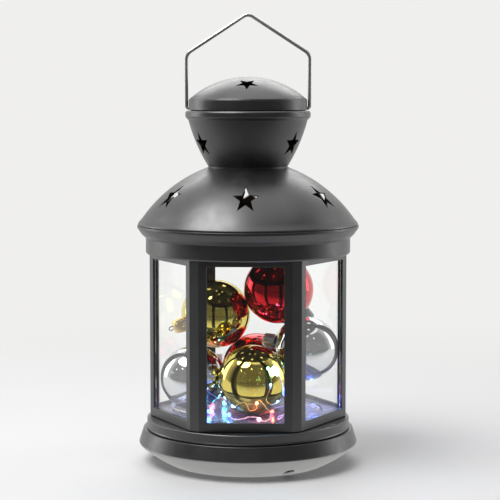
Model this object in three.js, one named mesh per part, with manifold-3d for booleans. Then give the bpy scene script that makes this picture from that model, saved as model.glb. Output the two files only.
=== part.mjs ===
// A decorative lantern with a string of LED lights and six baubles inside, in millimetres, +Z up.
// It stands on z = 0 with its axis on Z, and its front window faces -Y.
import * as THREE from "three";
import { mergeVertices } from "three/addons/utils/BufferGeometryUtils.js";
import { ConvexGeometry } from "three/addons/geometries/ConvexGeometry.js";
import Module from "manifold-3d";

const wasm = await Module();
wasm.setup();

// Sheet, gaps and how finely round pieces are cut
const SHEET = 0.8;
const FIT = 0.3;
const TURN_STEPS = 36;
const SIDES = 6;

// Base dish: foot ring, bowl, rolled rim and the flange under the lower ring
const FOOT_INNER_R = 37.5;
const FOOT_OUTER_R = 43.8;
const FOOT_RECESS = 1.5;
const BOWL_R = 58.2;
const BOWL_Z = 9.4;
const BOWL_SAG = 0.5;
const RIM_R = 59.7;
const RIM_Z = 11.1;
const DISH_TOP_R = 57.2;
const DISH_TOP_Z = 18.6;
const DISH_MOUTH_R = 52;
const VENT_R = 3;
const VENT_AT_R = 48.6;
const VENT_FIRST_DEG = -62.4;

// Floor drum, which stands in the dish and carries the bayonet lugs
const DRUM_R = 40;
const DRUM_FLANGE_R = 30;
const FLOOR_Z = 28;
const LUG_REACH = 4.5;
const LUG_THICKNESS = 1;
const LUG_DEG = 16;
const LUG_LIFT = 0.4;
const RIVET_R = 1.5;
const RIVET_HEAD_R = 3;
const RIVET_HEAD_THICKNESS = 0.9;
const RIVET_CIRCLE_R = 32.5;

// Lower ring, which carries the hexagonal body and holds the base by its bayonet
const RING_R = 55.3;
const RING_BEAD = 0.4;
const RING_HEIGHT = 5.6;
const RING_MOUTH_GAP = 1;
const RING_LEDGE_R = 44.5;
const NOTCH_MARGIN_DEG = 1.5;
const UNLOCK_DEG = 20;

// Hexagonal body: six window faces and six narrow corner faces
const FACE_APOTHEM = 47.8;
const CORNER_APOTHEM = 53.57;
const BODY_HEIGHT = 90.7;
const WINDOW_WIDTH = 40.2;
const SILL_HEIGHT = 4.8;
const WINDOW_HEIGHT = 81.7;
const REVEAL_WIDTH = 1.7;
const REVEAL_DEPTH = 1.2;

// Glass and the bent tabs that hold it
const GLASS_THICKNESS = 1.3;
const GLASS_OVERLAP = 2.4;
const TAB_LIP = 1.8;
const TAB_HEIGHT = 3;
const LOW_TAB_Z = 54.2;
const HIGH_TAB_Z = 104;
const PLATE_FLANGE_WIDTH = 22;

// Collar round the top of the body, flared to the dome's seat
const COLLAR_R = 55.6;
const COLLAR_DROP = 2;
const COLLAR_HEIGHT = 4.9;
const LIP_R = 60.2;
const LIP_RISE = 4.8;
const FLARE_SETBACK = 2.5;
const FLARE_R = LIP_R - FLARE_SETBACK;
const FLARE_RISE = 4.3;
const COLLAR_FLANGE_R = 45;

// Dome, spun from sheet, with a skirt inside the collar's lip
const DOME_SETBACK = 0.5;
const DOME_R = LIP_R - DOME_SETBACK;
const DOME_RISE = 30.75;
const DOME_HOLE_R = 22.15;
const DOME_SAG = 3.97;
const SKIRT_DEPTH = 2;
const SKIRT_SETBACK = 2.2;

// Cup on the dome, with a rolled bead and a collar inside the cap
const CUP_R = 32.26;
const CUP_HEIGHT = 25;
const CUP_SAG = 1.01;
const CUP_TAIL = 4.2;
const CUP_TAB_REACH = 3.6;
const CUP_TAB_WIDTH = 7;
const CUP_TABS = 4;
const BEAD_PROUD = 1.65;
const BEAD_HEIGHT = 4.2;
const CUP_COLLAR_HEIGHT = 4.5;

// Cap on the cup
const CAP_R = 32;
const CAP_BAND = 6;
const CAP_RISE = 12;
const CAP_SAG = 3.1;

// Star cut-outs
const STAR_TIP_R = 6.6;
const STAR_VALLEY_R = 2.75;
const DOME_STARS = 6;
const DOME_STAR_R = 47.4;
const CUP_STARS = 3;
const CUP_STAR_UP = 12.2;
const CAP_STARS = 3;
const CAP_STAR_R = 19;

// Wire handle, hooked through the cap's band and the cup's collar
const HANDLE_WIRE_R = 1;
const HANDLE_LEG = 29;
const HANDLE_PEAK = 21.65;
const HANDLE_BEND = 3;
const HANDLE_ELBOW = 1.3;
const HOOK_REACH = 5.3;
const HOOK_UP = 1.2;

// Baubles
const LARGE_BAUBLE_R = 19;
const SMALL_BAUBLE_R = 17.5;
const NECK_R = 2.6;
const NECK_HEIGHT = 2.6;
const CROWN_R = 4;
const CROWN_HEIGHT = 4.4;
const CROWN_TAPER = 0.7;
const CROWN_SHEET = 0.5;
const EYE_R = 2.2;
const EYE_WIRE_R = 0.45;

// Battery box for two coin cells, against the left rear window
const BOX_FACE_DEG = 150;
const BOX_DEPTH = 11.6;
const BOX_LENGTH = 26.6;
const BOX_HEIGHT = 24;
const BOX_WALL = 1.2;
const BOX_MIDDLE = -12.3;
const CELL_R = 10;
const CELL_THICKNESS = 3.2;
const DOOR_THICKNESS = 1.2;
const DOOR_LIP = 0.8;
const STRIP = 0.3;
const STRIP_WIDTH = 5;
const SPRING_HALF = 6;
const CELL_CAN_STEP = 1;
const BOX_BEZEL = 1;
const SLIDER_LENGTH = 2.6;
const SLIDER_WIDTH = 1.2;
const SLIDER_HEIGHT = 1.6;
const SLIDER_FOOT = 0.8;
const SLIDER_FOOT_HALF = 1.8;
const SWITCH_TRAVEL = 2.5;

// LED string: a thin wire with a drop of clear resin round each LED
const LED_WIRE_R = 0.4;
const LED_STEPS = 80;
const LED_COUNT = 10;
const LED_R = 1.25;
const LED_LENGTH = 3.4;
const LED_WAIST_R = 0.95;
const LED_BORE_R = 0.75;
const LED_BACK_STEPS = 4;

// Heights that follow from the sizes above
const RING_Z = DISH_TOP_Z + FIT;
const RING_TOP_Z = RING_Z + RING_HEIGHT;
const BODY_Z = RING_TOP_Z + FIT;
const BODY_TOP_Z = BODY_Z + BODY_HEIGHT;
const COLLAR_FLANGE_Z = BODY_TOP_Z + FIT;
const COLLAR_TOP_Z = COLLAR_FLANGE_Z + COLLAR_HEIGHT;
const LIP_Z = COLLAR_TOP_Z + FLARE_RISE + LIP_RISE;
const DOME_Z = LIP_Z + FIT;
const DOME_TOP_Z = DOME_Z + DOME_RISE;
const CUP_Z = DOME_TOP_Z + 2 * FIT;
const BEAD_TOP_Z = CUP_Z + CUP_HEIGHT + BEAD_HEIGHT + SHEET;
const CAP_Z = BEAD_TOP_Z + FIT;
const CAP_TOP_Z = CAP_Z + CAP_BAND + CAP_RISE;
const PIVOT_Z = CAP_Z + HOOK_UP;

const CUP_NECK_R = DOME_HOLE_R - 2 * FIT;
const GLASS_FRONT = FACE_APOTHEM - REVEAL_DEPTH - FIT;
const GLASS_BACK = GLASS_FRONT - GLASS_THICKNESS;
const CHAMBER = GLASS_BACK - FIT;
const HANDLE_HALF = CAP_R + FIT + HANDLE_WIRE_R;

const rad = THREE.MathUtils.degToRad;
const v2 = (x, y) => new THREE.Vector2(x, y);
const v3 = (x, y, z) => new THREE.Vector3(x, y, z);
const around = (count, first = 0) =>
  Array.from({ length: count }, (_, i) => first + (i * 360) / count);

// Materials as the object shows them
function material(color, roughness, metalness) {
  return new THREE.MeshStandardMaterial({ color, roughness, metalness });
}
const paint = () => material(0x24252a, 0.38, 0.4);
const brightSteel = () => material(0xc8c9cc, 0.2, 1);
const zincSteel = () => material(0xaeb0b3, 0.35, 1);

// Solids: a geometry becomes a solid for cutting and joining, and turns back into a geometry.
function solid(geometry) {
  const bare = (geometry.index ? geometry.toNonIndexed() : geometry).clone();
  bare.deleteAttribute("normal");
  bare.deleteAttribute("uv");
  const merged = mergeVertices(bare, 1e-4);
  return new wasm.Manifold(
    new wasm.Mesh({
      numProp: 3,
      vertProperties: merged.attributes.position.array,
      triVerts: new Uint32Array(merged.index.array),
    }),
  );
}

function geometryOf(body) {
  const out = body.getMesh();
  const geometry = new THREE.BufferGeometry();
  geometry.setAttribute("position", new THREE.BufferAttribute(out.vertProperties, 3));
  geometry.setIndex(new THREE.BufferAttribute(out.triVerts, 1));
  const flat = geometry.toNonIndexed();
  flat.computeVertexNormals();
  return flat;
}

const joined = (geometries) =>
  geometries.map(solid).reduce((all, one) => all.add(one));

function cut(geometry, cutters) {
  const whole = cutters.length ? solid(geometry).subtract(joined(cutters)) : solid(geometry);
  return geometryOf(whole);
}

// Points on the arc from a to b that stands sag proud of its chord, to the right of the way along it
function arc(a, b, sag, steps) {
  const chord = b.clone().sub(a);
  const half = chord.length() / 2;
  const radius = (half * half + sag * sag) / (2 * sag);
  const right = v2(chord.y, -chord.x).normalize();
  const centre = a.clone().add(b).multiplyScalar(0.5).addScaledVector(right, sag - radius);
  const start = Math.atan2(a.y - centre.y, a.x - centre.x);
  const sweep = 2 * Math.asin(half / radius);
  return Array.from({ length: steps + 1 }, (_, i) => {
    const angle = start + (sweep * i) / steps;
    return v2(centre.x + radius * Math.cos(angle), centre.y + radius * Math.sin(angle));
  });
}

// The closed outline of a sheet whose outer side is the line given, with the sheet to its left
function sheetOutline(line, thickness = SHEET) {
  const inner = line.map((point, i) => {
    const before = line[Math.max(i - 1, 0)];
    const after = line[Math.min(i + 1, line.length - 1)];
    const into = (i ? point.clone().sub(before) : after.clone().sub(point)).normalize();
    const out = (i < line.length - 1 ? after.clone().sub(point) : into.clone()).normalize();
    const left = v2(-into.y - out.y, into.x + out.x).normalize();
    const reach = thickness / left.dot(v2(-into.y, into.x));
    const moved = point.clone().addScaledVector(left, reach);
    if (point.x === 0) moved.set(0, point.y + (moved.y > point.y ? thickness : -thickness));
    return moved;
  });
  return [...line, ...inner.reverse()];
}

// A turned solid: its outline is closed on itself unless both its ends lie on the axis.
function turned(outline, steps = TURN_STEPS) {
  const area = outline.reduce((sum, p, i) => {
    const q = outline[(i + 1) % outline.length];
    return sum + p.x * q.y - q.x * p.y;
  }, 0);
  const points = area > 0 ? outline.slice() : outline.slice().reverse();
  const onAxis = points[0].x === 0 && points.at(-1).x === 0;
  if (!onAxis) points.push(points[0].clone());
  return new THREE.LatheGeometry(points, steps).rotateX(Math.PI / 2);
}

// An outline that starts and ends on the axis is turned so that its first point is on it.
function turnedFromAxis(outline, steps = TURN_STEPS) {
  const first = outline.findIndex((p, i) => p.x === 0 && outline.at(i - 1).x === 0);
  return turned([...outline.slice(first), ...outline.slice(0, first)], steps);
}

function extruded(points, z0, z1) {
  const geometry = new THREE.ExtrudeGeometry(new THREE.Shape(points), {
    depth: z1 - z0,
    bevelEnabled: false,
  });
  return geometry.translate(0, 0, z0);
}

function block(x0, x1, y0, y1, z0, z1) {
  const geometry = new THREE.BoxGeometry(x1 - x0, y1 - y0, z1 - z0);
  return geometry.translate((x0 + x1) / 2, (y0 + y1) / 2, (z0 + z1) / 2);
}

// A rod along Z from z0 to z1, with its axis at x, y
function rod(radius, x, y, z0, z1, steps = 12) {
  const geometry = new THREE.CylinderGeometry(radius, radius, z1 - z0, steps);
  return geometry.rotateX(Math.PI / 2).translate(x, y, (z0 + z1) / 2);
}

// A piece of a flat ring, centred on the angle given
function ringSector(r0, r1, z0, z1, atDeg, spanDeg) {
  const from = rad(atDeg - spanDeg / 2);
  const to = rad(atDeg + spanDeg / 2);
  const steps = 4;
  const rim = (r) =>
    Array.from({ length: steps + 1 }, (_, i) => {
      const angle = from + ((to - from) * i) / steps;
      return v2(r * Math.cos(angle), r * Math.sin(angle));
    });
  return extruded([...rim(r1), ...rim(r0).reverse()], z0, z1);
}

// A tube along a curve
function tube(curve, radius, sides, steps) {
  const section = new THREE.Shape(
    Array.from({ length: sides }, (_, i) => {
      const angle = (2 * Math.PI * (i + 0.5)) / sides;
      return v2(radius * Math.cos(angle), radius * Math.sin(angle));
    }),
  );
  return new THREE.ExtrudeGeometry(section, { extrudePath: curve, steps, bevelEnabled: false });
}

// A five-pointed star cutter at a point of a turned surface, its first tip towards tipDirection
function starCutter(at, normal, tipDirection, depth = 3) {
  const outline = Array.from({ length: 10 }, (_, i) => {
    const r = i % 2 ? STAR_VALLEY_R : STAR_TIP_R;
    return v2(r * Math.cos((i * Math.PI) / 5), r * Math.sin((i * Math.PI) / 5));
  });
  const side = new THREE.Vector3().crossVectors(normal, tipDirection).normalize();
  const tip = new THREE.Vector3().crossVectors(side, normal).normalize();
  const frame = new THREE.Matrix4().makeBasis(tip, side, normal.clone().normalize());
  return extruded(outline, -depth, depth).applyMatrix4(frame).translate(at.x, at.y, at.z);
}

// Stars all round a spun arc where it crosses a level on one of its axes: tips up the slope, or down it
function starsRound(line, axis, level, count, firstDeg, tipUp) {
  const i = line.findIndex((p, k) => k > 0 && (p[axis] - level) * (line[k - 1][axis] - level) <= 0);
  const a = line[i - 1];
  const b = line[i];
  const on = a.clone().lerp(b, (level - a[axis]) / (b[axis] - a[axis]));
  const along = b.clone().sub(a).normalize();
  return around(count, firstDeg).map((deg) => {
    const out = v3(Math.cos(rad(deg)), Math.sin(rad(deg)), 0);
    const at = out.clone().multiplyScalar(on.x).setZ(on.y);
    const normal = out.clone().multiplyScalar(along.y).setZ(-along.x);
    const slope = out.clone().multiplyScalar(along.x).setZ(along.y);
    return starCutter(at, normal, tipUp ? slope : slope.negate());
  });
}

// The twelve corners of a hexagon with narrow corner faces
function bodyCorners(faceApothem, cornerApothem) {
  const half = (cornerApothem - faceApothem * Math.cos(Math.PI / SIDES)) / Math.sin(Math.PI / SIDES);
  return around(SIDES, 30).flatMap((deg) =>
    [-half, half].map((side) => {
      const n = v2(Math.cos(rad(deg)), Math.sin(rad(deg)));
      return v2(n.x * faceApothem - n.y * side, n.y * faceApothem + n.x * side);
    }),
  );
}

const onFace = (geometry, deg) => geometry.rotateZ(rad(deg));

// The four corners of a window-shaped rectangle on the +X face, grown by a margin
function windowCorners(n, margin) {
  const half = WINDOW_WIDTH / 2 + margin;
  const low = BODY_Z + SILL_HEIGHT - margin;
  const high = BODY_Z + SILL_HEIGHT + WINDOW_HEIGHT + margin;
  return [v3(n, -half, low), v3(n, half, low), v3(n, half, high), v3(n, -half, high)];
}
const taper = REVEAL_WIDTH / REVEAL_DEPTH;
const PAST = 0.6;

function windowCutter() {
  const outside = windowCorners(FACE_APOTHEM + PAST, PAST * taper);
  const inside = windowCorners(FACE_APOTHEM - REVEAL_DEPTH - PAST, -REVEAL_WIDTH - PAST * taper);
  return new ConvexGeometry([...outside, ...inside]);
}

function hemBlock() {
  const outside = windowCorners(FACE_APOTHEM - SHEET / 2, REVEAL_DEPTH);
  const inside = windowCorners(FACE_APOTHEM - REVEAL_DEPTH, SHEET - REVEAL_WIDTH);
  return new ConvexGeometry([...outside, ...inside]);
}

// Half the width and the ends of a pane, which reaches past the clear opening all round
const PANE_HALF = WINDOW_WIDTH / 2 - REVEAL_WIDTH + GLASS_OVERLAP;
const PANE_Z = FLOOR_Z + FIT;
const PANE_TOP_Z = BODY_Z + SILL_HEIGHT + WINDOW_HEIGHT - REVEAL_WIDTH + GLASS_OVERLAP;

// A tab bent off the face beside the pane, with its lip behind the glass
function glassTabs(z) {
  const side = PANE_HALF + FIT;
  return [-1, 1].flatMap((s) => {
    const edges = [s * side, s * (side + SHEET)].sort((a, b) => a - b);
    const lip = [s * (side - TAB_LIP), s * (side + SHEET)].sort((a, b) => a - b);
    const z0 = z - TAB_HEIGHT / 2;
    const back = GLASS_BACK - FIT;
    return [
      block(back - SHEET, FACE_APOTHEM - SHEET / 2, ...edges, z0, z0 + TAB_HEIGHT),
      block(back - SHEET, back, ...lip, z0, z0 + TAB_HEIGHT),
    ];
  });
}

function baseDish() {
  const line = [
    v2(0, FOOT_RECESS),
    v2(FOOT_INNER_R - FOOT_RECESS, FOOT_RECESS),
    v2(FOOT_INNER_R, 0),
    v2(FOOT_OUTER_R, 0),
    ...arc(v2(FOOT_OUTER_R, 0), v2(BOWL_R, BOWL_Z), BOWL_SAG, 2).slice(1),
    v2(RIM_R, RIM_Z - SHEET / 2),
    v2(RIM_R, RIM_Z + SHEET / 2),
    ...arc(v2(RIM_R, RIM_Z + SHEET / 2), v2(DISH_TOP_R, DISH_TOP_Z), SHEET, 2).slice(1),
    v2(DISH_MOUTH_R, DISH_TOP_Z),
  ];
  const vents = around(3, VENT_FIRST_DEG).map((deg) =>
    rod(VENT_R, VENT_AT_R * Math.cos(rad(deg)), VENT_AT_R * Math.sin(rad(deg)), -1, BOWL_Z),
  );
  return cut(turnedFromAxis(sheetOutline(line)), [...vents, ...rivetHoles()]);
}

const rivetPlaces = () => {
  const r = RIVET_CIRCLE_R;
  return around(3, 90).map((deg) => v2(r * Math.cos(rad(deg)), r * Math.sin(rad(deg))));
};

const DRUM_Z = FOOT_RECESS + SHEET + FIT;

function rivetHoles() {
  return rivetPlaces().map((p) => rod(RIVET_R + FIT, p.x, p.y, 0, DRUM_Z + 2 * SHEET));
}

function baseRivets() {
  const low = FOOT_RECESS - FIT;
  const high = DRUM_Z + SHEET + FIT;
  return rivetPlaces().map((p) =>
    geometryOf(
      joined([
        rod(RIVET_HEAD_R, p.x, p.y, low - RIVET_HEAD_THICKNESS, low),
        rod(RIVET_R, p.x, p.y, low - RIVET_HEAD_THICKNESS / 2, high + RIVET_HEAD_THICKNESS / 2),
        rod(RIVET_HEAD_R, p.x, p.y, high, high + RIVET_HEAD_THICKNESS),
      ]),
    ),
  );
}

const LUG_Z = RING_Z + SHEET + LUG_LIFT;

function floorDrum() {
  const line = [
    v2(DRUM_FLANGE_R, DRUM_Z),
    v2(DRUM_R, DRUM_Z),
    v2(DRUM_R, FLOOR_Z),
    v2(0, FLOOR_Z),
  ];
  const outline = sheetOutline(line);
  const split = outline.findIndex((p) => p.x === 0);
  const drum = turned([...outline.slice(split + 1), ...outline.slice(0, split + 1)]);
  const lugs = around(3).map((deg) =>
    ringSector(DRUM_R - SHEET / 2, DRUM_R + LUG_REACH, LUG_Z, LUG_Z + LUG_THICKNESS, deg, LUG_DEG),
  );
  return geometryOf(joined([drum, ...lugs]).subtract(joined(rivetHoles())));
}

function lowerRing() {
  const mouth = DRUM_R + RING_MOUTH_GAP;
  const line = [
    v2(mouth, RING_Z),
    v2(RING_R - RING_BEAD, RING_Z),
    v2(RING_R + RING_BEAD, RING_Z + 2 * RING_BEAD),
    v2(RING_R, RING_Z + 4 * RING_BEAD),
    v2(RING_R, RING_TOP_Z - RING_BEAD),
    v2(RING_R - RING_BEAD, RING_TOP_Z),
    v2(RING_LEDGE_R, RING_TOP_Z),
  ];
  const notches = around(3, -UNLOCK_DEG).map((deg) =>
    ringSector(
      mouth - PAST,
      DRUM_R + LUG_REACH + 2 * FIT,
      RING_Z - PAST,
      RING_Z + SHEET + PAST,
      deg,
      LUG_DEG + 2 * NOTCH_MARGIN_DEG,
    ),
  );
  return cut(turned(sheetOutline(line)), notches);
}

function sillPlate() {
  const edge = FACE_APOTHEM - SHEET - FIT;
  const plate = extruded(bodyCorners(edge, CORNER_APOTHEM - SHEET - FIT), FLOOR_Z - SHEET, FLOOR_Z);
  const flanges = around(SIDES, 30).map((deg) =>
    onFace(
      block(
        edge - SHEET,
        edge,
        -PLATE_FLANGE_WIDTH / 2,
        PLATE_FLANGE_WIDTH / 2,
        BODY_Z,
        FLOOR_Z - SHEET / 2,
      ),
      deg,
    ),
  );
  const hole = rod(DRUM_R + FIT, 0, 0, FLOOR_Z - 2 * SHEET, FLOOR_Z + SHEET, TURN_STEPS);
  return geometryOf(joined([plate, ...flanges]).subtract(solid(hole)));
}

// One of the six pressed panels of the body: a window face with half of each corner face beside it
function windowPanel(deg) {
  const turn = Math.PI / SIDES;
  const bend = v2(FACE_APOTHEM, bodyHalfWidth());
  const middle = v2(CORNER_APOTHEM * Math.cos(turn), CORNER_APOTHEM * Math.sin(turn));
  const edge = middle.clone().lerp(bend, FIT / 2 / middle.distanceTo(bend));
  const mirrored = (p) => v2(p.x, -p.y);
  const line = [mirrored(edge), mirrored(bend), bend, edge];
  const sheet = solid(extruded(sheetOutline(line), BODY_Z, BODY_TOP_Z)).add(solid(hemBlock()));
  const tabs = joined([LOW_TAB_Z, HIGH_TAB_Z].flatMap(glassTabs));
  return onFace(geometryOf(sheet.subtract(solid(windowCutter())).add(tabs)), deg);
}

function glassPane(deg) {
  return onFace(block(GLASS_BACK, GLASS_FRONT, -PANE_HALF, PANE_HALF, PANE_Z, PANE_TOP_Z), deg);
}

function upperCollar() {
  const inside = COLLAR_R - SHEET;
  const cornerR = Math.hypot(FACE_APOTHEM, bodyHalfWidth());
  const lipInner = LIP_R - SHEET;
  const flareZ = COLLAR_TOP_Z + FLARE_RISE;
  return turned([
    v2(cornerR + 2 * FIT, COLLAR_FLANGE_Z - COLLAR_DROP - FIT),
    v2(cornerR + FIT + SHEET, COLLAR_FLANGE_Z - COLLAR_DROP - FIT),
    v2(COLLAR_R, COLLAR_FLANGE_Z),
    v2(COLLAR_R, COLLAR_TOP_Z),
    v2(FLARE_R, flareZ),
    v2(LIP_R, LIP_Z - SHEET),
    v2(LIP_R, LIP_Z),
    v2(lipInner, LIP_Z),
    v2(lipInner, LIP_Z - SHEET / 2),
    v2(FLARE_R - SHEET, flareZ + SHEET / 2),
    v2(inside, COLLAR_TOP_Z + SHEET / 4),
    v2(inside, COLLAR_FLANGE_Z + SHEET),
    v2(COLLAR_FLANGE_R, COLLAR_FLANGE_Z + SHEET),
    v2(COLLAR_FLANGE_R, COLLAR_FLANGE_Z),
    v2(cornerR + 2 * FIT, COLLAR_FLANGE_Z),
  ]);
}

function bodyHalfWidth() {
  const turn = Math.PI / SIDES;
  return (CORNER_APOTHEM - FACE_APOTHEM * Math.cos(turn)) / Math.sin(turn);
}

function dome() {
  const skirtR = LIP_R - SKIRT_SETBACK;
  const curve = arc(v2(DOME_R, DOME_Z), v2(DOME_HOLE_R, DOME_TOP_Z), DOME_SAG, 5);
  const line = [v2(skirtR, DOME_Z - SKIRT_DEPTH), v2(skirtR, DOME_Z), ...curve];
  const stars = starsRound(curve, "x", DOME_STAR_R, DOME_STARS, 30, true);
  return cut(turned(sheetOutline(line)), stars);
}

function neckCup() {
  const tailZ = CUP_Z - CUP_TAIL;
  const curve = arc(v2(CUP_NECK_R, CUP_Z), v2(CUP_R, CUP_Z + CUP_HEIGHT), CUP_SAG, 3);
  const beadR = CUP_R + BEAD_PROUD;
  const beadZ = BEAD_TOP_Z - BEAD_HEIGHT;
  const collarR = CAP_R - SHEET - FIT;
  const line = [
    v2(CUP_NECK_R, tailZ),
    ...curve,
    v2(beadR, beadZ + SHEET),
    v2(beadR, BEAD_TOP_Z - SHEET),
    v2(beadR - SHEET, BEAD_TOP_Z),
    v2(collarR, BEAD_TOP_Z),
    v2(collarR, BEAD_TOP_Z + CUP_COLLAR_HEIGHT),
  ];
  const stars = starsRound(curve, "y", CUP_Z + CUP_STAR_UP, CUP_STARS, 90, true);
  const tabs = around(CUP_TABS, 45).map((deg) =>
    onFace(
      block(
        CUP_NECK_R - SHEET / 2,
        CUP_NECK_R + CUP_TAB_REACH,
        -CUP_TAB_WIDTH / 2,
        CUP_TAB_WIDTH / 2,
        tailZ,
        tailZ + SHEET,
      ),
      deg,
    ),
  );
  const cutters = joined([...stars, ...hookHoles()]);
  return geometryOf(joined([turned(sheetOutline(line)), ...tabs]).subtract(cutters));
}

// The two holes that the handle's hooks pass through, along X
function hookHoles() {
  return [-1, 1].map((side) => {
    const hole = new THREE.CylinderGeometry(HANDLE_WIRE_R + FIT, HANDLE_WIRE_R + FIT, HOOK_REACH, 16);
    return hole.rotateZ(Math.PI / 2).translate(side * CAP_R, 0, PIVOT_Z);
  });
}

function ventCap() {
  const curve = arc(v2(CAP_R - FIT, CAP_Z + CAP_BAND), v2(0, CAP_TOP_Z), CAP_SAG, 5);
  curve.at(-1).x = 0;
  const line = [v2(CAP_R, CAP_Z), v2(CAP_R, CAP_Z + CAP_BAND - SHEET), ...curve];
  const outline = sheetOutline(line);
  const split = outline.findIndex((p) => p.x === 0);
  const shell = turned([...outline.slice(split + 1), ...outline.slice(0, split + 1)]);
  const stars = starsRound(curve, "x", CAP_STAR_R, CAP_STARS, 270, false);
  return cut(shell, [...stars, ...hookHoles()]);
}

// A curve through set points, straight between them, so that a tube along it has a ring at each
class Stations extends THREE.Curve {
  constructor(points) {
    super();
    this.points = points;
  }
  getPoint(t, target = new THREE.Vector3()) {
    const place = t * (this.points.length - 1);
    const i = Math.min(Math.floor(place), this.points.length - 2);
    return target.copy(this.points[i]).lerp(this.points[i + 1], place - i);
  }
  getUtoTmapping(u) {
    return u;
  }
}

// The points of a wire bent round its corners, with a bend's run along each leg given
function bentWire(corners, bends, steps = 4) {
  const points = [corners[0]];
  bends.forEach((bend, i) => {
    const corner = corners[i + 1];
    const before = corner.clone().lerp(corners[i], bend / corner.distanceTo(corners[i]));
    const after = corner.clone().lerp(corners[i + 2], bend / corner.distanceTo(corners[i + 2]));
    points.push(...new THREE.QuadraticBezierCurve3(before, corner, after).getPoints(steps));
  });
  return new Stations([...points, corners.at(-1)]);
}

// The handle's wire: in through the band, up both legs and over the peak
function handle() {
  const x = HANDLE_HALF;
  const shoulderZ = PIVOT_Z + HANDLE_LEG;
  const corners = [
    v3(x - HOOK_REACH, 0, PIVOT_Z),
    v3(x, 0, PIVOT_Z),
    v3(x, 0, shoulderZ),
    v3(0, 0, shoulderZ + HANDLE_PEAK),
    v3(-x, 0, shoulderZ),
    v3(-x, 0, PIVOT_Z),
    v3(HOOK_REACH - x, 0, PIVOT_Z),
  ];
  const path = bentWire(corners, [HANDLE_ELBOW, HANDLE_BEND, HANDLE_BEND, HANDLE_BEND, HANDLE_ELBOW]);
  return tube(path, HANDLE_WIRE_R, 8, path.points.length - 1);
}

// A bauble's centre settles against its supports, each of which pushes it to a gap of FIT.
function settled(start, radius, supports) {
  const centre = start.clone();
  for (let round = 0; round < 400; round += 1)
    for (const support of supports) support(centre, radius);
  return centre;
}
const onFloor = (centre, radius) => centre.setZ(FLOOR_Z + FIT + radius);
const onPane = (deg) => (centre, radius) => {
  const n = v3(Math.cos(rad(deg)), Math.sin(rad(deg)), 0);
  centre.addScaledVector(n, CHAMBER - radius - centre.dot(n));
};
const onBauble = (other) => (centre, radius) => {
  const away = centre.clone().sub(other.centre);
  const reach = radius + other.radius + FIT;
  centre.addScaledVector(away.clone().normalize(), reach - away.length());
};

function bauble(name, color, radius, start, supports, crown) {
  return { name, color, radius, crown: crown.normalize(), centre: settled(start, radius, supports) };
}

const GOLD = 0xc79a4a;
const RED = 0xb3202a;
const SILVER = 0xb9bcc2;
const goldFront = bauble(
  "gold_bauble_front",
  GOLD,
  LARGE_BAUBLE_R,
  v3(3.2, -18.8, 0),
  [onFloor],
  v3(-0.55, 0.66, -0.5),
);
const redBack = bauble(
  "red_bauble_back",
  RED,
  LARGE_BAUBLE_R,
  v3(4, 24.8, 0),
  [onFloor],
  v3(0.8, 0.1, -0.4),
);
const silverLeft = bauble(
  "silver_bauble_left",
  SILVER,
  SMALL_BAUBLE_R,
  v3(-29.7, -2.4, 0),
  [onFloor, onBauble(goldFront)],
  v3(0.43, -0.88, 0.2),
);
const silverRight = bauble(
  "silver_bauble_right",
  SILVER,
  SMALL_BAUBLE_R,
  v3(31, 0, 62),
  [onPane(30), onPane(330), onBauble(goldFront)],
  v3(-0.97, 0, 0.21),
);
const goldUpper = bauble(
  "gold_bauble_upper",
  GOLD,
  LARGE_BAUBLE_R,
  v3(-18.3, 19, 79.4),
  [onPane(150), onBauble(redBack)],
  v3(-0.88, -0.42, -0.25),
);
const redUpper = bauble(
  "red_bauble_upper",
  RED,
  LARGE_BAUBLE_R,
  v3(17.9, 12, 92.8),
  [onBauble(goldUpper), onBauble(silverRight)],
  v3(0.68, 0.225, -0.7),
);
const baubles = [goldFront, goldUpper, redUpper, redBack, silverLeft, silverRight];

// A hollow ball's neck stands out of it and holds the crown; both are turned about the crown's axis.
function baubleBall(radius) {
  const neckFoot = Math.asin(NECK_R / radius);
  const steps = 8;
  const curve = Array.from({ length: steps + 1 }, (_, i) => {
    const angle = neckFoot + ((Math.PI - neckFoot) * (steps - i)) / steps;
    return v2(i ? radius * Math.sin(angle) : 0, radius * Math.cos(angle));
  });
  return turned([...curve, v2(NECK_R, radius + NECK_HEIGHT), v2(0, radius + NECK_HEIGHT)], 16);
}

function baubleCrown(radius) {
  const foot = Math.sqrt((radius + FIT) ** 2 - (CROWN_R - CROWN_SHEET) ** 2);
  const top = foot + CROWN_HEIGHT;
  const line = [
    v2(CROWN_R, foot),
    v2(CROWN_R - CROWN_TAPER / 2, top - CROWN_HEIGHT / 4),
    v2(CROWN_R - CROWN_TAPER, top),
    v2(0, top),
  ];
  const outline = sheetOutline(line, CROWN_SHEET);
  const split = outline.findIndex((p) => p.x === 0);
  return turned([...outline.slice(split + 1), ...outline.slice(0, split + 1)], 10);
}

function baubleEye(radius) {
  const foot = Math.sqrt((radius + FIT) ** 2 - (CROWN_R - CROWN_SHEET) ** 2) + CROWN_HEIGHT;
  const rise = foot + FIT + EYE_WIRE_R + EYE_R * Math.cos(0.5);
  const ring = Array.from({ length: 9 }, (_, i) => {
    const angle = -Math.PI / 2 + 0.5 + ((2 * Math.PI - 1) * i) / 8;
    return v3(EYE_R * Math.cos(angle), 0, rise + EYE_R * Math.sin(angle));
  });
  return tube(new THREE.CatmullRomCurve3(ring), EYE_WIRE_R, 5, 8);
}

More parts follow.
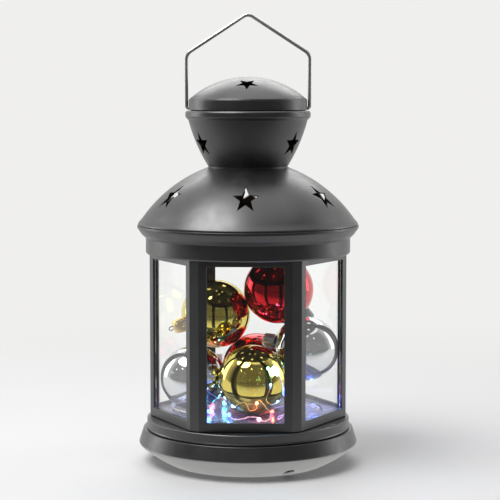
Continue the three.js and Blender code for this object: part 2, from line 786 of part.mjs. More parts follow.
// Battery box pieces in the box's own frame: X out through the glass, Y along the pane
const BOX_BACK = CHAMBER;
const BOX_FRONT = BOX_BACK - BOX_DEPTH;
const BOX_Z = FLOOR_Z + FIT;
const BOX_TOP_Z = BOX_Z + BOX_HEIGHT;
const BOX_Y0 = BOX_MIDDLE - BOX_LENGTH / 2;
const BOX_Y1 = BOX_MIDDLE + BOX_LENGTH / 2;
const SLOT_FRONT = BOX_FRONT + DOOR_LIP;
const SLOT_BACK = SLOT_FRONT + DOOR_THICKNESS + 2 * FIT;
const WELL_BACK = BOX_BACK - BOX_WALL;
const SLIDER_X = (SLOT_BACK + WELL_BACK) / 2;
const SLIDER_Y = BOX_Y1 - BOX_WALL - FIT - SLIDER_LENGTH;

function batteryBox() {
  const y0 = BOX_Y0 + BOX_WALL;
  const y1 = BOX_Y1 - BOX_WALL;
  const z0 = BOX_Z + BOX_WALL;
  const z1 = BOX_TOP_Z - BOX_WALL;
  const body = block(BOX_FRONT, BOX_BACK, BOX_Y0, BOX_Y1, BOX_Z, BOX_TOP_Z);
  const window = block(
    BOX_FRONT - PAST,
    SLOT_BACK,
    y0 + BOX_BEZEL,
    y1 - BOX_BEZEL,
    z0 + BOX_BEZEL,
    BOX_TOP_Z + PAST,
  );
  const slot = block(SLOT_FRONT, SLOT_BACK, y0, y1, z0, BOX_TOP_Z + PAST);
  const well = block(SLOT_BACK - PAST, WELL_BACK, y0, y1, z0, z1);
  const half = SLIDER_WIDTH / 2 + FIT;
  const track = block(
    SLIDER_X - half,
    SLIDER_X + half,
    SLIDER_Y - SWITCH_TRAVEL - FIT,
    SLIDER_Y + SLIDER_LENGTH + FIT,
    z1 - PAST,
    BOX_TOP_Z + PAST,
  );
  return cut(body, [window, slot, well, track]);
}

function batteryDoor() {
  const y0 = BOX_Y0 + BOX_WALL + FIT;
  const y1 = BOX_Y1 - BOX_WALL - FIT;
  return block(SLOT_FRONT + FIT, SLOT_BACK - FIT, y0, y1, BOX_Z + BOX_WALL + FIT, BOX_TOP_Z - FIT);
}

const CELL_Z = BOX_Z + BOX_WALL + FIT + CELL_R;

function batteryCell(x0) {
  const outline = [
    v2(0, x0),
    v2(CELL_R - CELL_CAN_STEP, x0),
    v2(CELL_R - CELL_CAN_STEP, x0 + STRIP),
    v2(CELL_R, x0 + STRIP),
    v2(CELL_R, x0 + CELL_THICKNESS),
    v2(0, x0 + CELL_THICKNESS),
  ];
  return turned(outline, 28).rotateY(Math.PI / 2).translate(0, BOX_MIDDLE, CELL_Z);
}

const CELL_BACK = WELL_BACK - STRIP - 2 * FIT;

function contactPlate() {
  const x1 = WELL_BACK - FIT;
  const y0 = BOX_MIDDLE - STRIP_WIDTH;
  const y1 = BOX_MIDDLE + STRIP_WIDTH;
  return block(x1 - STRIP, x1, y0, y1, BOX_Z + 2 * BOX_WALL, CELL_Z + SPRING_HALF);
}

// A bent strip that presses on the cells' rims
function contactSpring() {
  const wall = BOX_Y0 + BOX_WALL + FIT;
  const rim = BOX_MIDDLE - CELL_R - FIT;
  const ends = [v2(wall, CELL_Z + SPRING_HALF), v2(wall, CELL_Z - SPRING_HALF)];
  const line = [ends[0], v2(rim - STRIP, CELL_Z), ends[1]];
  const strip = sheetOutline(line, STRIP);
  const geometry = extruded(strip, SLIDER_X - STRIP_WIDTH / 2, SLIDER_X + STRIP_WIDTH / 2);
  return geometry.applyMatrix4(new THREE.Matrix4().makeBasis(v3(0, 1, 0), v3(0, 0, 1), v3(1, 0, 0)));
}

function batterySwitch() {
  const y0 = SLIDER_Y;
  const y1 = SLIDER_Y + SLIDER_LENGTH;
  const under = BOX_TOP_Z - BOX_WALL - FIT;
  const knob = block(
    SLIDER_X - SLIDER_WIDTH / 2,
    SLIDER_X + SLIDER_WIDTH / 2,
    y0,
    y1,
    under - SLIDER_FOOT / 2,
    BOX_TOP_Z + SLIDER_HEIGHT,
  );
  const half = SLIDER_FOOT_HALF;
  const foot = block(SLIDER_X - half, SLIDER_X + half, y0, y1, under - SLIDER_FOOT, under);
  return geometryOf(joined([knob, foot]));
}

// The LED string's route, from the battery box round the floor and up beside the front bauble
const LED_ROUTE = [
  [-34.45, 18.35, 32], [-36.1, 15.4, 31.8], [-38.8, 9.5, 30.2], [-40.4, 2, 29.55], [-39, -9, 29.55],
  [-30.5, -18.5, 29.55], [-21.5, -17, 29.55], [-18.4, -8, 29.55], [-18.6, 3, 29.55], [-20.8, 14, 29.55],
  [-17.5, 23.5, 29.55], [-10.5, 24.5, 29.55], [-8.5, 17, 29.55], [-13, 10, 29.55], [-12.6, 1, 29.55],
  [-10.4, -8, 29.55], [-9.8, -20, 29.55], [-8.6, -31, 29.55], [-5, -37.5, 29.55], [-0.6, -34.5, 29.55],
  [1.2, -30.5, 29.55], [5.6, -31.5, 29.55], [7.4, -39, 29.55], [10.4, -41.6, 29.55], [12.4, -35, 29.55],
  [13, -20, 29.55], [15, -5, 29.55], [25, 3.5, 29.55], [35, 3, 29.55], [38.2, -6, 29.55],
  [31, -17, 29.55], [21.5, -22.5, 29.55], [17.2, -29.5, 29.55], [17.4, -37, 29.8], [20, -41, 33],
  [20.5, -40, 41], [18.6, -37, 50], [14.6, -33, 56.3],
];
const ledCurve = new THREE.CatmullRomCurve3(LED_ROUTE.map((p) => v3(...p)), false, "centripetal");

// A bead sits on one straight step of the wire, counted from the box.
function ledBead(step) {
  const end = LED_LENGTH / 2;
  const outline = [
    v2(LED_BORE_R, -end),
    v2(LED_WAIST_R, -end),
    v2(LED_R, 0),
    v2(LED_WAIST_R, end),
    v2(LED_BORE_R, end),
  ];
  const from = ledCurve.getPointAt(step / LED_STEPS);
  const to = ledCurve.getPointAt((step + 1) / LED_STEPS);
  const along = to.clone().sub(from).normalize();
  const at = from.lerp(to, 0.5);
  const turn = new THREE.Quaternion().setFromUnitVectors(v3(0, 0, 1), along);
  return turned(outline, 6).applyQuaternion(turn).translate(at.x, at.y, at.z);
}

// The assembly
const lantern = new THREE.Group();

function piece(name, geometry, look, parent = lantern) {
  const mesh = new THREE.Mesh(geometry, look);
  mesh.name = name;
  parent.add(mesh);
  return mesh;
}

piece("base_dish", baseDish(), paint());
piece("floor_drum", floorDrum(), material(0xb9b7c4, 0.4, 0.6));
baseRivets().forEach((rivet, i) => piece(`base_rivet_${i + 1}`, rivet, zincSteel()));
piece("lower_ring", lowerRing(), paint());
piece("sill_plate", sillPlate(), material(0xb9b7c4, 0.4, 0.6));
around(SIDES, 270).forEach((deg, i) => {
  piece(`window_panel_${i + 1}`, windowPanel(deg), paint());
  piece(`glass_pane_${i + 1}`, glassPane(deg), material(0xe8eeee, 0.05, 0));
});
piece("upper_collar", upperCollar(), paint());
piece("dome", dome(), paint());
piece("neck_cup", neckCup(), paint());
piece("vent_cap", ventCap(), paint());
piece("handle", handle(), brightSteel());

for (const one of baubles) {
  const group = new THREE.Group();
  group.position.copy(one.centre);
  group.quaternion.setFromUnitVectors(v3(0, 0, 1), one.crown);
  lantern.add(group);
  const crownColor = one === redUpper || one === redBack ? 0x6d6a66 : one.color;
  piece(`${one.name}_ball`, baubleBall(one.radius), material(one.color, 0.08, 0.9), group);
  piece(`${one.name}_crown`, baubleCrown(one.radius), material(crownColor, 0.25, 1), group);
  piece(`${one.name}_eye`, baubleEye(one.radius), zincSteel(), group);
}

const box = new THREE.Group();
box.rotation.z = rad(BOX_FACE_DEG);
lantern.add(box);
const boxPlastic = () => material(0xd9dadb, 0.5, 0);
piece("battery_box", batteryBox(), boxPlastic(), box);
piece("battery_door", batteryDoor(), boxPlastic(), box);
piece("battery_cell_1", batteryCell(CELL_BACK - CELL_THICKNESS), brightSteel(), box);
piece("battery_cell_2", batteryCell(CELL_BACK - 2 * CELL_THICKNESS - FIT), brightSteel(), box);
piece("contact_plate", contactPlate(), zincSteel(), box);
piece("contact_spring", contactSpring(), zincSteel(), box);
piece("battery_switch", batterySwitch(), material(0x1b1b1c, 0.5, 0), box);

piece("led_wire", tube(ledCurve, LED_WIRE_R, 6, LED_STEPS), material(0xc9b8a2, 0.3, 1));
for (let i = 1; i <= LED_COUNT; i += 1) {
  const step = (i * LED_STEPS) / LED_COUNT - LED_BACK_STEPS;
  piece(`led_bead_${i}`, ledBead(step), material(0xdff1f4, 0.1, 0));
}

export default lantern;
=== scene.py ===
"""The lantern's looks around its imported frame: millimetres times MM, +Z up, front to -Y."""
import math

import bmesh
import bpy
import numpy as np
from mathutils import Matrix, Vector


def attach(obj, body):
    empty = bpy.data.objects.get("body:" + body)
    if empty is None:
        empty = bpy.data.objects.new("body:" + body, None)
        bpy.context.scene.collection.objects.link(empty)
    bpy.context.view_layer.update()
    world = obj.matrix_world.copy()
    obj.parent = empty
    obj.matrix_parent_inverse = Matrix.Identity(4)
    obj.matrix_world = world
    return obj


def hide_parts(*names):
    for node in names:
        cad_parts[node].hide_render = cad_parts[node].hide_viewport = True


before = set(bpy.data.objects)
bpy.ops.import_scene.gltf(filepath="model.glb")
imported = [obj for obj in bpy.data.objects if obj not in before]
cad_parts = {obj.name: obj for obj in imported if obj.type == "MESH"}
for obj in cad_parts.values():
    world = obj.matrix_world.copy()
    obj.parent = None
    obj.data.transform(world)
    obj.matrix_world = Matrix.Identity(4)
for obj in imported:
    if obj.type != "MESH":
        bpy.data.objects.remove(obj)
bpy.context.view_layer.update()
MM = 0.001

# ---- Sizes of the frame, in millimetres
SHEET = 0.8
FIT = 0.3
SIDES = 6
FLOOR_Z = 28
FACE_APOTHEM = 47.8
CORNER_APOTHEM = 53.57
BODY_Z = 24.8
BODY_TOP_Z = 115.5
WINDOW_WIDTH = 40.2
SILL_Z = 29.6
WINDOW_TOP_Z = 111.3
PANE_HALF = 20.8
REVEAL_DEPTH = 1.35
HEM = 0.45
CHAMBER = 44.7

# ---- Rounding of outlines
EDGE_R = 0.22
MIN_BEND = 0.15
MIN_TURN = 0.02
LEG_SHARE = 0.48
TURN_STEP = 0.25
ON_AXIS = 1e-6


def added(name, data):
    """A new object in the scene."""
    made = bpy.data.objects.new(name, data)
    bpy.context.collection.objects.link(made)
    return made


# ---- Camera, first
def look_from(distance, height, azimuth, pitch, aside, lens):
    """A camera at a level distance from the axis, turned aside from it by a small angle."""
    data = bpy.data.cameras.new("camera")
    data.lens = lens
    data.sensor_width = 36
    data.clip_start = 0.05
    data.clip_end = 30
    camera = added("camera", data)
    a = math.radians(azimuth)
    camera.location = (distance * math.sin(a), -distance * math.cos(a), height)
    camera.rotation_euler = (math.radians(90 - pitch), 0, math.radians(azimuth - aside))
    bpy.context.scene.camera = camera


look_from(distance=0.8711, height=0.1981, azimuth=1.6, pitch=5.4, aside=0.0714, lens=115.5)


# ---- Materials
def shader(name):
    """A new material with its nodes, its links and its main shader."""
    made = bpy.data.materials.new(name)
    made.use_nodes = True
    nodes = made.node_tree.nodes
    return made, nodes, made.node_tree.links, nodes["Principled BSDF"]


def place(nodes, kind, **values):
    """A shader node with its properties set, and its inputs by their names after in_."""
    node = nodes.new("ShaderNode" + kind)
    for name, value in values.items():
        if name.startswith("in_"):
            node.inputs[name[3:].replace("_", " ")].default_value = value
        else:
            setattr(node, name, value)
    return node


def noise(nodes, links, where, scale, detail=2.0, stretch=None):
    """Noise in the part's own coordinates, with its scale in features per metre."""
    texture = place(nodes, "TexNoise", in_Scale=scale, in_Detail=detail)
    source = where.outputs["Object"]
    if stretch:
        mapping = place(nodes, "Mapping", in_Scale=stretch)
        links.new(source, mapping.inputs["Vector"])
        source = mapping.outputs["Vector"]
    links.new(source, texture.inputs["Vector"])
    return texture.outputs["Fac"]


def ranged(nodes, links, source, low, high, start=0.35, end=0.65):
    """A value that goes from low to high while the source goes from start to end."""
    node = place(nodes, "MapRange")
    for name, value in (("From Min", start), ("From Max", end), ("To Min", low), ("To Max", high)):
        node.inputs[name].default_value = value
    links.new(source, node.inputs["Value"])
    return node.outputs["Result"]


def tinted(nodes, links, bsdf, share, low, high):
    """The main shader's colour, from low to high by a share. Each is a colour or a socket."""
    tint = place(nodes, "Mix", data_type="RGBA")
    links.new(share, tint.inputs["Factor"])
    for name, value in (("A", low), ("B", high)):
        if isinstance(value, bpy.types.NodeSocket):
            links.new(value, tint.inputs[name])
        else:
            tint.inputs[name].default_value = (*value, 1)
    links.new(tint.outputs["Result"], bsdf.inputs["Base Color"])


def along_axis(nodes, links, source, axis):
    """One coordinate of a vector."""
    split = place(nodes, "SeparateXYZ")
    links.new(source, split.inputs["Vector"])
    return split.outputs[axis]


def shown(nodes, links, share, first, second):
    """The material's surface, from the first shader to the second by a share."""
    mix = place(nodes, "MixShader")
    for i, source in enumerate((share, first, second)):
        links.new(source, mix.inputs[i])
    links.new(mix.outputs["Shader"], nodes["Material Output"].inputs["Surface"])


def finish_of(
    name, color, roughness, metallic=0.0, vary=0.1, patch=90, rough_patch=160, bump=0.2, grain=900,
    grain_size=0.00005, stretch=None, **sockets,
):
    """A surface whose colour and roughness wander a little, with a fine grain in its bump.

    patch, rough_patch and grain are in features per metre, grain_size is in metres.
    """
    made, nodes, links, bsdf = shader(name)
    where = place(nodes, "TexCoord")
    darker = [c * (1 - vary) for c in color]
    lighter = [min(c * (1 + vary), 1) for c in color]
    tinted(nodes, links, bsdf, noise(nodes, links, where, patch, 3, stretch), darker, lighter)
    low, high = roughness
    rough = ranged(nodes, links, noise(nodes, links, where, rough_patch, 4, stretch), low, high)
    links.new(rough, bsdf.inputs["Roughness"])
    bsdf.inputs["Metallic"].default_value = metallic
    for socket, value in sockets.items():
        bsdf.inputs[socket.replace("_", " ")].default_value = value
    relief = place(nodes, "Bump", in_Strength=bump, in_Distance=grain_size)
    links.new(noise(nodes, links, where, grain, 2, stretch), relief.inputs["Height"])
    links.new(relief.outputs["Normal"], bsdf.inputs["Normal"])
    return made


def glass_of(name, color, roughness, ior):
    """Clear glass that lets the lamps' light through, with faint smears."""
    made, nodes, links, bsdf = shader(name)
    where = place(nodes, "TexCoord")
    bsdf.inputs["Base Color"].default_value = (*color, 1)
    bsdf.inputs["Transmission Weight"].default_value = 1
    bsdf.inputs["IOR"].default_value = ior
    smears = noise(nodes, links, where, 35, 4, (1, 1, 0.3))
    links.new(ranged(nodes, links, smears, *roughness), bsdf.inputs["Roughness"])
    path = place(nodes, "LightPath")
    clear = place(nodes, "BsdfTransparent", in_Color=(*color, 1))
    shadow = path.outputs["Is Shadow Ray"]
    shown(nodes, links, shadow, bsdf.outputs["BSDF"], clear.outputs["BSDF"])
    return made


def painted_reflection_below(name, upper, painted_reflection_color, height, spread):
    """The upper finish, which turns to a pale satin metal below a height: a painted reflection of
    the bright floor on the black paint.
    """
    made = upper.copy()
    made.name = name
    nodes, links = made.node_tree.nodes, made.node_tree.links
    bsdf = nodes["Principled BSDF"]
    z = along_axis(nodes, links, place(nodes, "TexCoord").outputs["Object"], "Z")
    start, end = (height - spread) * MM, (height + spread) * MM
    share = ranged(nodes, links, z, 1.0, 0.0, start, end)
    upper_color = bsdf.inputs["Base Color"].links[0].from_socket
    tinted(nodes, links, bsdf, share, upper_color, painted_reflection_color)
    links.new(share, bsdf.inputs["Metallic"])
    return made


def mirror_of(name, color, vary):
    """A mirror coat on a blown ball, with the faint waves of the blowing."""
    return finish_of(
        name, color, (0.02, 0.06), 1.0, vary=vary, bump=0.12, grain=70, grain_size=0.0004,
        Coat_Weight=0.08, Coat_Roughness=0.02,
    )


PAINT = finish_of(
    "black_paint", (0.009, 0.0092, 0.0098), (0.33, 0.4), vary=0.25, grain=1500,
    grain_size=0.00003, Specular_IOR_Level=1.0,
)
# The dish's pale metal below 11.2 mm is painted reflection: it stands in for the bright floor
# mirrored in the black paint.
DISH_PAINT_PAINTED_REFLECTION = painted_reflection_below("dish_paint_painted_reflection", PAINT, (0.36, 0.36, 0.36), height=11.2, spread=0.4)
# The inner floor's dark tone is its own; its blue tint is painted light, the wash of the blue LEDs.
BLUE_LIT_FLOOR_STEEL = finish_of(
    "floor_steel", (0.15, 0.16, 0.24), (0.16, 0.3), 0.5, vary=0.2, bump=0.3, grain=500,
    stretch=(1, 14, 1),
)
RIVET_STEEL = finish_of("rivet_steel", (0.56, 0.56, 0.57), (0.3, 0.42), 1.0, grain=2000)
WIRE_STEEL = finish_of("handle_steel", (0.5, 0.5, 0.51), (0.3, 0.38), 1.0, bump=0.02, grain=600)
GLASS = glass_of("window_glass", (0.985, 0.995, 0.992), (0.0, 0.03), 1.38)
MIRRORS = {
    "gold": mirror_of("gold_mirror", (0.86, 0.7, 0.16), 0.06),
    "red": mirror_of("red_mirror", (0.62, 0.012, 0.02), 0.1),
    "silver": mirror_of("silver_mirror", (0.74, 0.75, 0.77), 0.05),
}
CROWNS = {
    "gold": finish_of("gold_crown", (0.88, 0.62, 0.2), (0.24, 0.36), 1.0, grain=1200),
    "silver": finish_of("silver_crown", (0.85, 0.86, 0.88), (0.24, 0.36), 1.0, grain=1200),
    "red": finish_of("dark_crown", (0.17, 0.17, 0.18), (0.2, 0.34), 1.0, grain=1200),
}
EYE_WIRE = finish_of("eye_wire", (0.62, 0.62, 0.63), (0.2, 0.32), 1.0, bump=0.1, grain=2000)
BOX_PLASTIC = finish_of("box_plastic", (0.72, 0.72, 0.73), (0.42, 0.55), vary=0.03, grain=1600)
CELL_STEEL = finish_of("cell_steel", (0.6, 0.6, 0.61), (0.24, 0.36), 1.0, grain=1500)
CONTACT_STEEL = finish_of("contact_steel", (0.6, 0.58, 0.54), (0.24, 0.36), 1.0, grain=1500)
SWITCH_PLASTIC = finish_of("switch_plastic", (0.02, 0.02, 0.021), (0.4, 0.5), grain=1600)
LED_WIRE = finish_of("led_wire", (0.86, 0.8, 0.8), (0.2, 0.32), 0.35, bump=0.1, grain=2500)


# ---- Meshes
def link(name, mesh, body, slot, look, *nodes):
    """A piece of the scene: its body, its slot (not used), its look and the nodes that it replaces.
    """
    piece = added(name, mesh)
    mesh.materials.clear()
    mesh.materials.append(look)
    if nodes:
        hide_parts(*nodes)
    if body:
        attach(piece, body)
    return piece


def dress(look, *names):
    """Gives solids of the frame their look."""
    for name in names:
        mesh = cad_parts[name].data
        mesh.materials.clear()
        mesh.materials.append(look)


def smoothed(mesh, smooth=True):
    mesh.polygons.foreach_set("use_smooth", [smooth] * len(mesh.polygons))
    return mesh


def mesh_of(name, points, faces, smooth=True):
    mesh = bpy.data.meshes.new(name)
    mesh.from_pydata([tuple(c * MM for c in p) for p in points], [], faces)
    mesh.validate()
    smoothed(mesh, smooth).update()
    return mesh


def arc(a, b, sag, steps):
    """Points from a to b on the arc that stands sag to the right of its chord."""
    a, b = np.array(a, float), np.array(b, float)
    chord = b - a
    half = np.linalg.norm(chord) / 2
    radius = (half * half + sag * sag) / (2 * sag)
    right = np.array((chord[1], -chord[0])) / (2 * half)
    centre = (a + b) / 2 + right * (sag - radius)
    start = math.atan2(a[1] - centre[1], a[0] - centre[0])
    sweep = 2 * math.asin(half / radius)
    angles = start + sweep * np.arange(steps + 1) / steps
    x, y = centre
    return [(x + radius * math.cos(t), y + radius * math.sin(t), 0.0) for t in angles]


def unit(v):
    return v / max(np.linalg.norm(v), 1e-12)


def offset(line, thickness):
    """The line's other side, thickness to its left, with its bends' radii to match."""
    points = np.array([p[:2] for p in line], float)
    other = []
    for i, (x, y, bend) in enumerate(line):
        into = unit(points[i] - points[i - 1]) if i else unit(points[1] - points[0])
        out = unit(points[i + 1] - points[i]) if i < len(line) - 1 else into
        left = unit(np.array((-into[1] - out[1], into[0] + out[0])))
        reach = thickness / left.dot((-into[1], into[0]))
        spot = points[i] + left * reach
        if x == 0:
            spot = np.array((0, y + math.copysign(thickness, spot[1] - y)))
        turn = into[0] * out[1] - into[1] * out[0]
        inner_bend = max(bend - math.copysign(thickness, turn), MIN_BEND)
        other.append((spot[0], spot[1], inner_bend if bend else 0.0))
    return other


def sheet(line):
    """The closed outline of a sheet to the left of a line, with its free edges rounded."""
    outer = [list(p) for p in line]
    inner = [list(p) for p in offset(line, SHEET)]
    for end in (0, -1):
        if line[end][0] > 0:
            outer[end][2] = inner[end][2] = EDGE_R
    return [tuple(p) for p in outer + inner[::-1]]


def rounded(outline):
    """A closed outline's points and normals, with each corner turned on its own radius."""
    points = np.array([p[:2] for p in outline], float)
    area = sum(p[0] * q[1] - q[0] * p[1] for p, q in zip(points, np.roll(points, -1, 0)))
    bends = [p[2] for p in outline]
    if area < 0:
        points, bends = points[::-1], bends[::-1]
    spots, normals = [], []
    for i, bend in enumerate(bends):
        before, here, after = points[i - 1], points[i], points[(i + 1) % len(points)]
        into, out = unit(here - before), unit(after - here)
        turn = math.atan2(into[0] * out[1] - into[1] * out[0], into.dot(out))
        n_in, n_out = np.array((into[1], -into[0])), np.array((out[1], -out[0]))
        if here[0] < ON_AXIS:
            spots.append(here)
            normals.append(np.array((0, math.copysign(1, (n_in + n_out)[1]))))
            continue
        if bend <= 0 or abs(turn) < MIN_TURN:
            spots.append(here)
            normals.append(unit(n_in + n_out))
            continue
        room = LEG_SHARE * min(np.linalg.norm(here - before), np.linalg.norm(after - here))
        run = min(bend * math.tan(abs(turn) / 2), room)
        radius = run / math.tan(abs(turn) / 2)
        side = math.copysign(1, turn)
        centre = here - into * run - n_in * radius * side
        steps = max(2, math.ceil(abs(turn) / TURN_STEP))
        for k in range(steps + 1):
            angle = turn * k / steps
            c, s = math.cos(angle), math.sin(angle)
            n = np.array((n_in[0] * c - n_in[1] * s, n_in[0] * s + n_in[1] * c))
            spots.append(centre + n * radius * side)
            normals.append(n)
    return np.array(spots), np.array(normals)


def ring_faces(rings):
    """Faces between rings of corners, from each to the next and from the last to the first.

    A ring on the axis is one corner again and again, and its faces are triangles.
    """
    faces = []
    for a, b in zip(rings, rings[1:] + rings[:1]):
        for k in range(len(a)):
            j = (k + 1) % len(a)
            ring = [a[k], a[j], b[j], b[k]]
            face = [v for i, v in enumerate(ring) if v != ring[i - 1]]
            if len(set(face)) >= 3:
                faces.append(face)
    return faces


def lathe(name, outline, steps=180):
    """A turned mesh of a closed outline, and the outline's points and normals for its shading."""
    spots, normals = rounded(outline)
    rings, points = [], []
    angles = 2 * math.pi * np.arange(steps) / steps
    for r, z in spots:
        if r < ON_AXIS:
            rings.append([len(points)] * steps)
            points.append((0, 0, z))
        else:
            rings.append(list(range(len(points), len(points) + steps)))
            points.extend((r * math.cos(t), r * math.sin(t), z) for t in angles)
    return mesh_of(name, points, ring_faces(rings)), (spots, normals)


def shade_turned(mesh, curve, tolerance=0.75, batch=2000):
    """Gives a turned mesh its outline's own normals.

    A face that leans far from them, as in a cut, stays flat.
    """
    spots, normals = curve
    a, b = spots, np.roll(spots, -1, 0)
    na, nb = normals, np.roll(normals, -1, 0)
    span = b - a
    length = np.maximum((span**2).sum(1), 1e-12)
    count = len(mesh.vertices)
    at = np.empty(count * 3)
    mesh.vertices.foreach_get("co", at)
    at = at.reshape(-1, 3) / MM
    r = np.hypot(at[:, 0], at[:, 1])
    rz = np.stack((r, at[:, 2]), 1)
    smooth = np.zeros((count, 3))
    for first in range(0, count, batch):
        some = slice(first, first + batch)
        part = rz[some]
        t = np.clip(((part[:, None] - a) * span).sum(2) / length, 0, 1)
        gap = ((part[:, None] - a - span * t[..., None]) ** 2).sum(2)
        near = gap.argmin(1)
        rows = np.arange(len(part))
        share = t[rows, near][:, None]
        n = na[near] * (1 - share) + nb[near] * share
        n /= np.maximum(np.linalg.norm(n, axis=1), 1e-9)[:, None]
        radius = np.maximum(r[some], 1e-9)
        smooth[some, 0] = n[:, 0] * at[some, 0] / radius
        smooth[some, 1] = n[:, 0] * at[some, 1] / radius
        smooth[some, 2] = n[:, 1]
    loops = np.empty(len(mesh.loops), int)
    mesh.loops.foreach_get("vertex_index", loops)
    per_loop = smooth[loops]
    for face in mesh.polygons:
        flat = np.array(face.normal)
        for i in face.loop_indices:
            if per_loop[i].dot(flat) < tolerance:
                per_loop[i] = flat
    mesh.normals_split_custom_set(per_loop.tolist())


def cut(mesh, cutters, operation="DIFFERENCE"):
    """The mesh with the cutters taken out of it, or joined to it."""
    body = added("work", mesh)
    tool = added("tool", joined_mesh(cutters))
    modifier = body.modifiers.new("cut", "BOOLEAN")
    modifier.operation = operation
    modifier.solver = "EXACT"
    modifier.object = tool
    done = bpy.data.meshes.new_from_object(
        body.evaluated_get(bpy.context.evaluated_depsgraph_get())
    )
    done.name = mesh.name
    for o in (body, tool):
        bpy.data.objects.remove(o)
    return smoothed(done)


def joined_mesh(meshes):
    work = bmesh.new()
    for one in meshes:
        work.from_mesh(one)
    whole = bpy.data.meshes.new("joined")
    work.to_mesh(whole)
    work.free()
    return whole


def outward(mesh):
    """The mesh with all its faces turned outward."""
    work = bmesh.new()
    work.from_mesh(mesh)
    bmesh.ops.recalc_face_normals(work, faces=work.faces)
    work.to_mesh(mesh)
    work.free()
    return mesh


def moved(mesh, matrix):
    mesh.transform(matrix)
    mesh.update()
    return mesh


def prism(points, z0, z1):
    """A straight-sided solid over a closed outline."""
    n = len(points)
    low = [(x, y, z0) for x, y in points]
    high = [(x, y, z1) for x, y in points]
    sides = [(i, (i + 1) % n, n + (i + 1) % n, n + i) for i in range(n)]
    faces = [tuple(reversed(range(n))), tuple(range(n, 2 * n)), *sides]
    return mesh_of("prism", low + high, faces, smooth=False)


def circle(radius, x=0.0, y=0.0, steps=32):
    angles = [2 * math.pi * k / steps for k in range(steps)]
    return [(x + radius * math.cos(t), y + radius * math.sin(t)) for t in angles]


def on_circle(radius, degrees):
    return radius * math.cos(math.radians(degrees)), radius * math.sin(math.radians(degrees))


def shift(x, y, z):
    return Matrix.Translation(Vector((x, y, z)) * MM)


def turn_z(degrees):
    return Matrix.Rotation(math.radians(degrees), 4, "Z")


def around(count, first=0):
    """Even directions round the axis, in degrees."""
    return [first + 360 * i / count for i in range(count)]


def slab(x0, x1, y0, y1, z0, z1):
    return prism([(x0, y0), (x1, y0), (x1, y1), (x0, y1)], z0, z1)


def wedge(outer_r, inner_r, at, half, z0, z1):
    """A solid between two radii, out to half degrees at both sides of a direction."""
    ends = [at - half + 2 * half * k / 10 for k in range(11)]
    rim = [on_circle(outer_r, d) for d in ends]
    root = [on_circle(inner_r, d) for d in reversed(ends)]
    return prism(rim + root, z0, z1)


STAR_TIP_R = 6.6
STAR_VALLEY_R = 2.75


def star(at, normal, tip, drawn, depth=3):
    """A cutter with five points, its first one towards tip, drawn out with the sheet."""
    outline = []
    for i in range(10):
        r = STAR_VALLEY_R if i % 2 else STAR_TIP_R
        t = i * math.pi / 5
        outline.append((r * drawn[0] * math.cos(t), r * drawn[1] * math.sin(t)))
    normal = Vector(normal).normalized()
    side = normal.cross(Vector(tip)).normalized()
    tip = side.cross(normal).normalized()
    turn = Matrix((tip, side, normal)).transposed().to_4x4()
    return moved(prism(outline, -depth, depth), shift(*at) @ turn)


def stars_round(line, axis, level, count, first, tip_up, drawn=(1, 1)):
    """Stars where a spun line crosses a level of its radius, axis 0, or of its height, axis 1."""
    for a, b in zip(line, line[1:]):
        if (a[axis] - level) * (b[axis] - level) <= 0:
            break
    share = (level - a[axis]) / (b[axis] - a[axis])
    on = [a[k] + (b[k] - a[k]) * share for k in (0, 1)]
    along = unit(np.array((b[0] - a[0], b[1] - a[1])))
    cutters = []
    for degrees in around(count, first):
        c, s = math.cos(math.radians(degrees)), math.sin(math.radians(degrees))
        at = (on[0] * c, on[0] * s, on[1])
        normal = (along[1] * c, along[1] * s, -along[0])
        slope = (along[0] * c, along[0] * s, along[1])
        cutters.append(star(at, normal, slope if tip_up else [-v for v in slope], drawn))
    return cutters


def turned_piece(
    name, outline, node, cutters=(), extras=(), body="housing", slot="black_paint", look=PAINT,
    steps=180,
):
    """A turned piece in place of a node, with its extras joined on and its cutters taken out."""
    mesh, curve = lathe(name, outline, steps)
    if extras:
        mesh = cut(mesh, extras, "UNION")
    if cutters:
        mesh = cut(mesh, cutters)
    shade_turned(mesh, curve)
    return link(name, mesh, body, slot, look, node)


# ---- LED string: its route, then a twisted pair of wires along it
LED_FLOOR_Z = 29.55
ON_FLOOR = [
    (-40.4, 2), (-39, -9), (-30.5, -18.5), (-21.5, -17), (-18.4, -8), (-18.6, 3), (-20.8, 14),
    (-17.5, 23.5), (-10.5, 24.5), (-8.5, 17), (-13, 10), (-12.6, 1), (-10.4, -8), (-9.8, -20),
    (-8.6, -31), (-5, -37.5), (-0.6, -34.5), (1.2, -30.5), (5.6, -31.5), (7.4, -39), (10.4, -41.6),
    (12.4, -35), (13, -20), (15, -5), (25, 3.5), (35, 3), (38.2, -6), (31, -17), (21.5, -22.5),
    (17.2, -29.5),
]
LED_ROUTE = [
    (-34.45, 18.35, 32), (-36.1, 15.4, 31.8), (-38.8, 9.5, 30.2),
    *[(x, y, LED_FLOOR_Z) for x, y in ON_FLOOR],
    (17.4, -37, 29.8), (20, -41, 33), (20.5, -40, 41), (18.6, -37, 50), (14.6, -33, 56.3),
]
LED_STEPS = 80
LED_COUNT = 10
LED_BACK_STEPS = 4
LED_POINTS = 841
TWIST_PITCH = 5.0
STRAND_R = 0.2


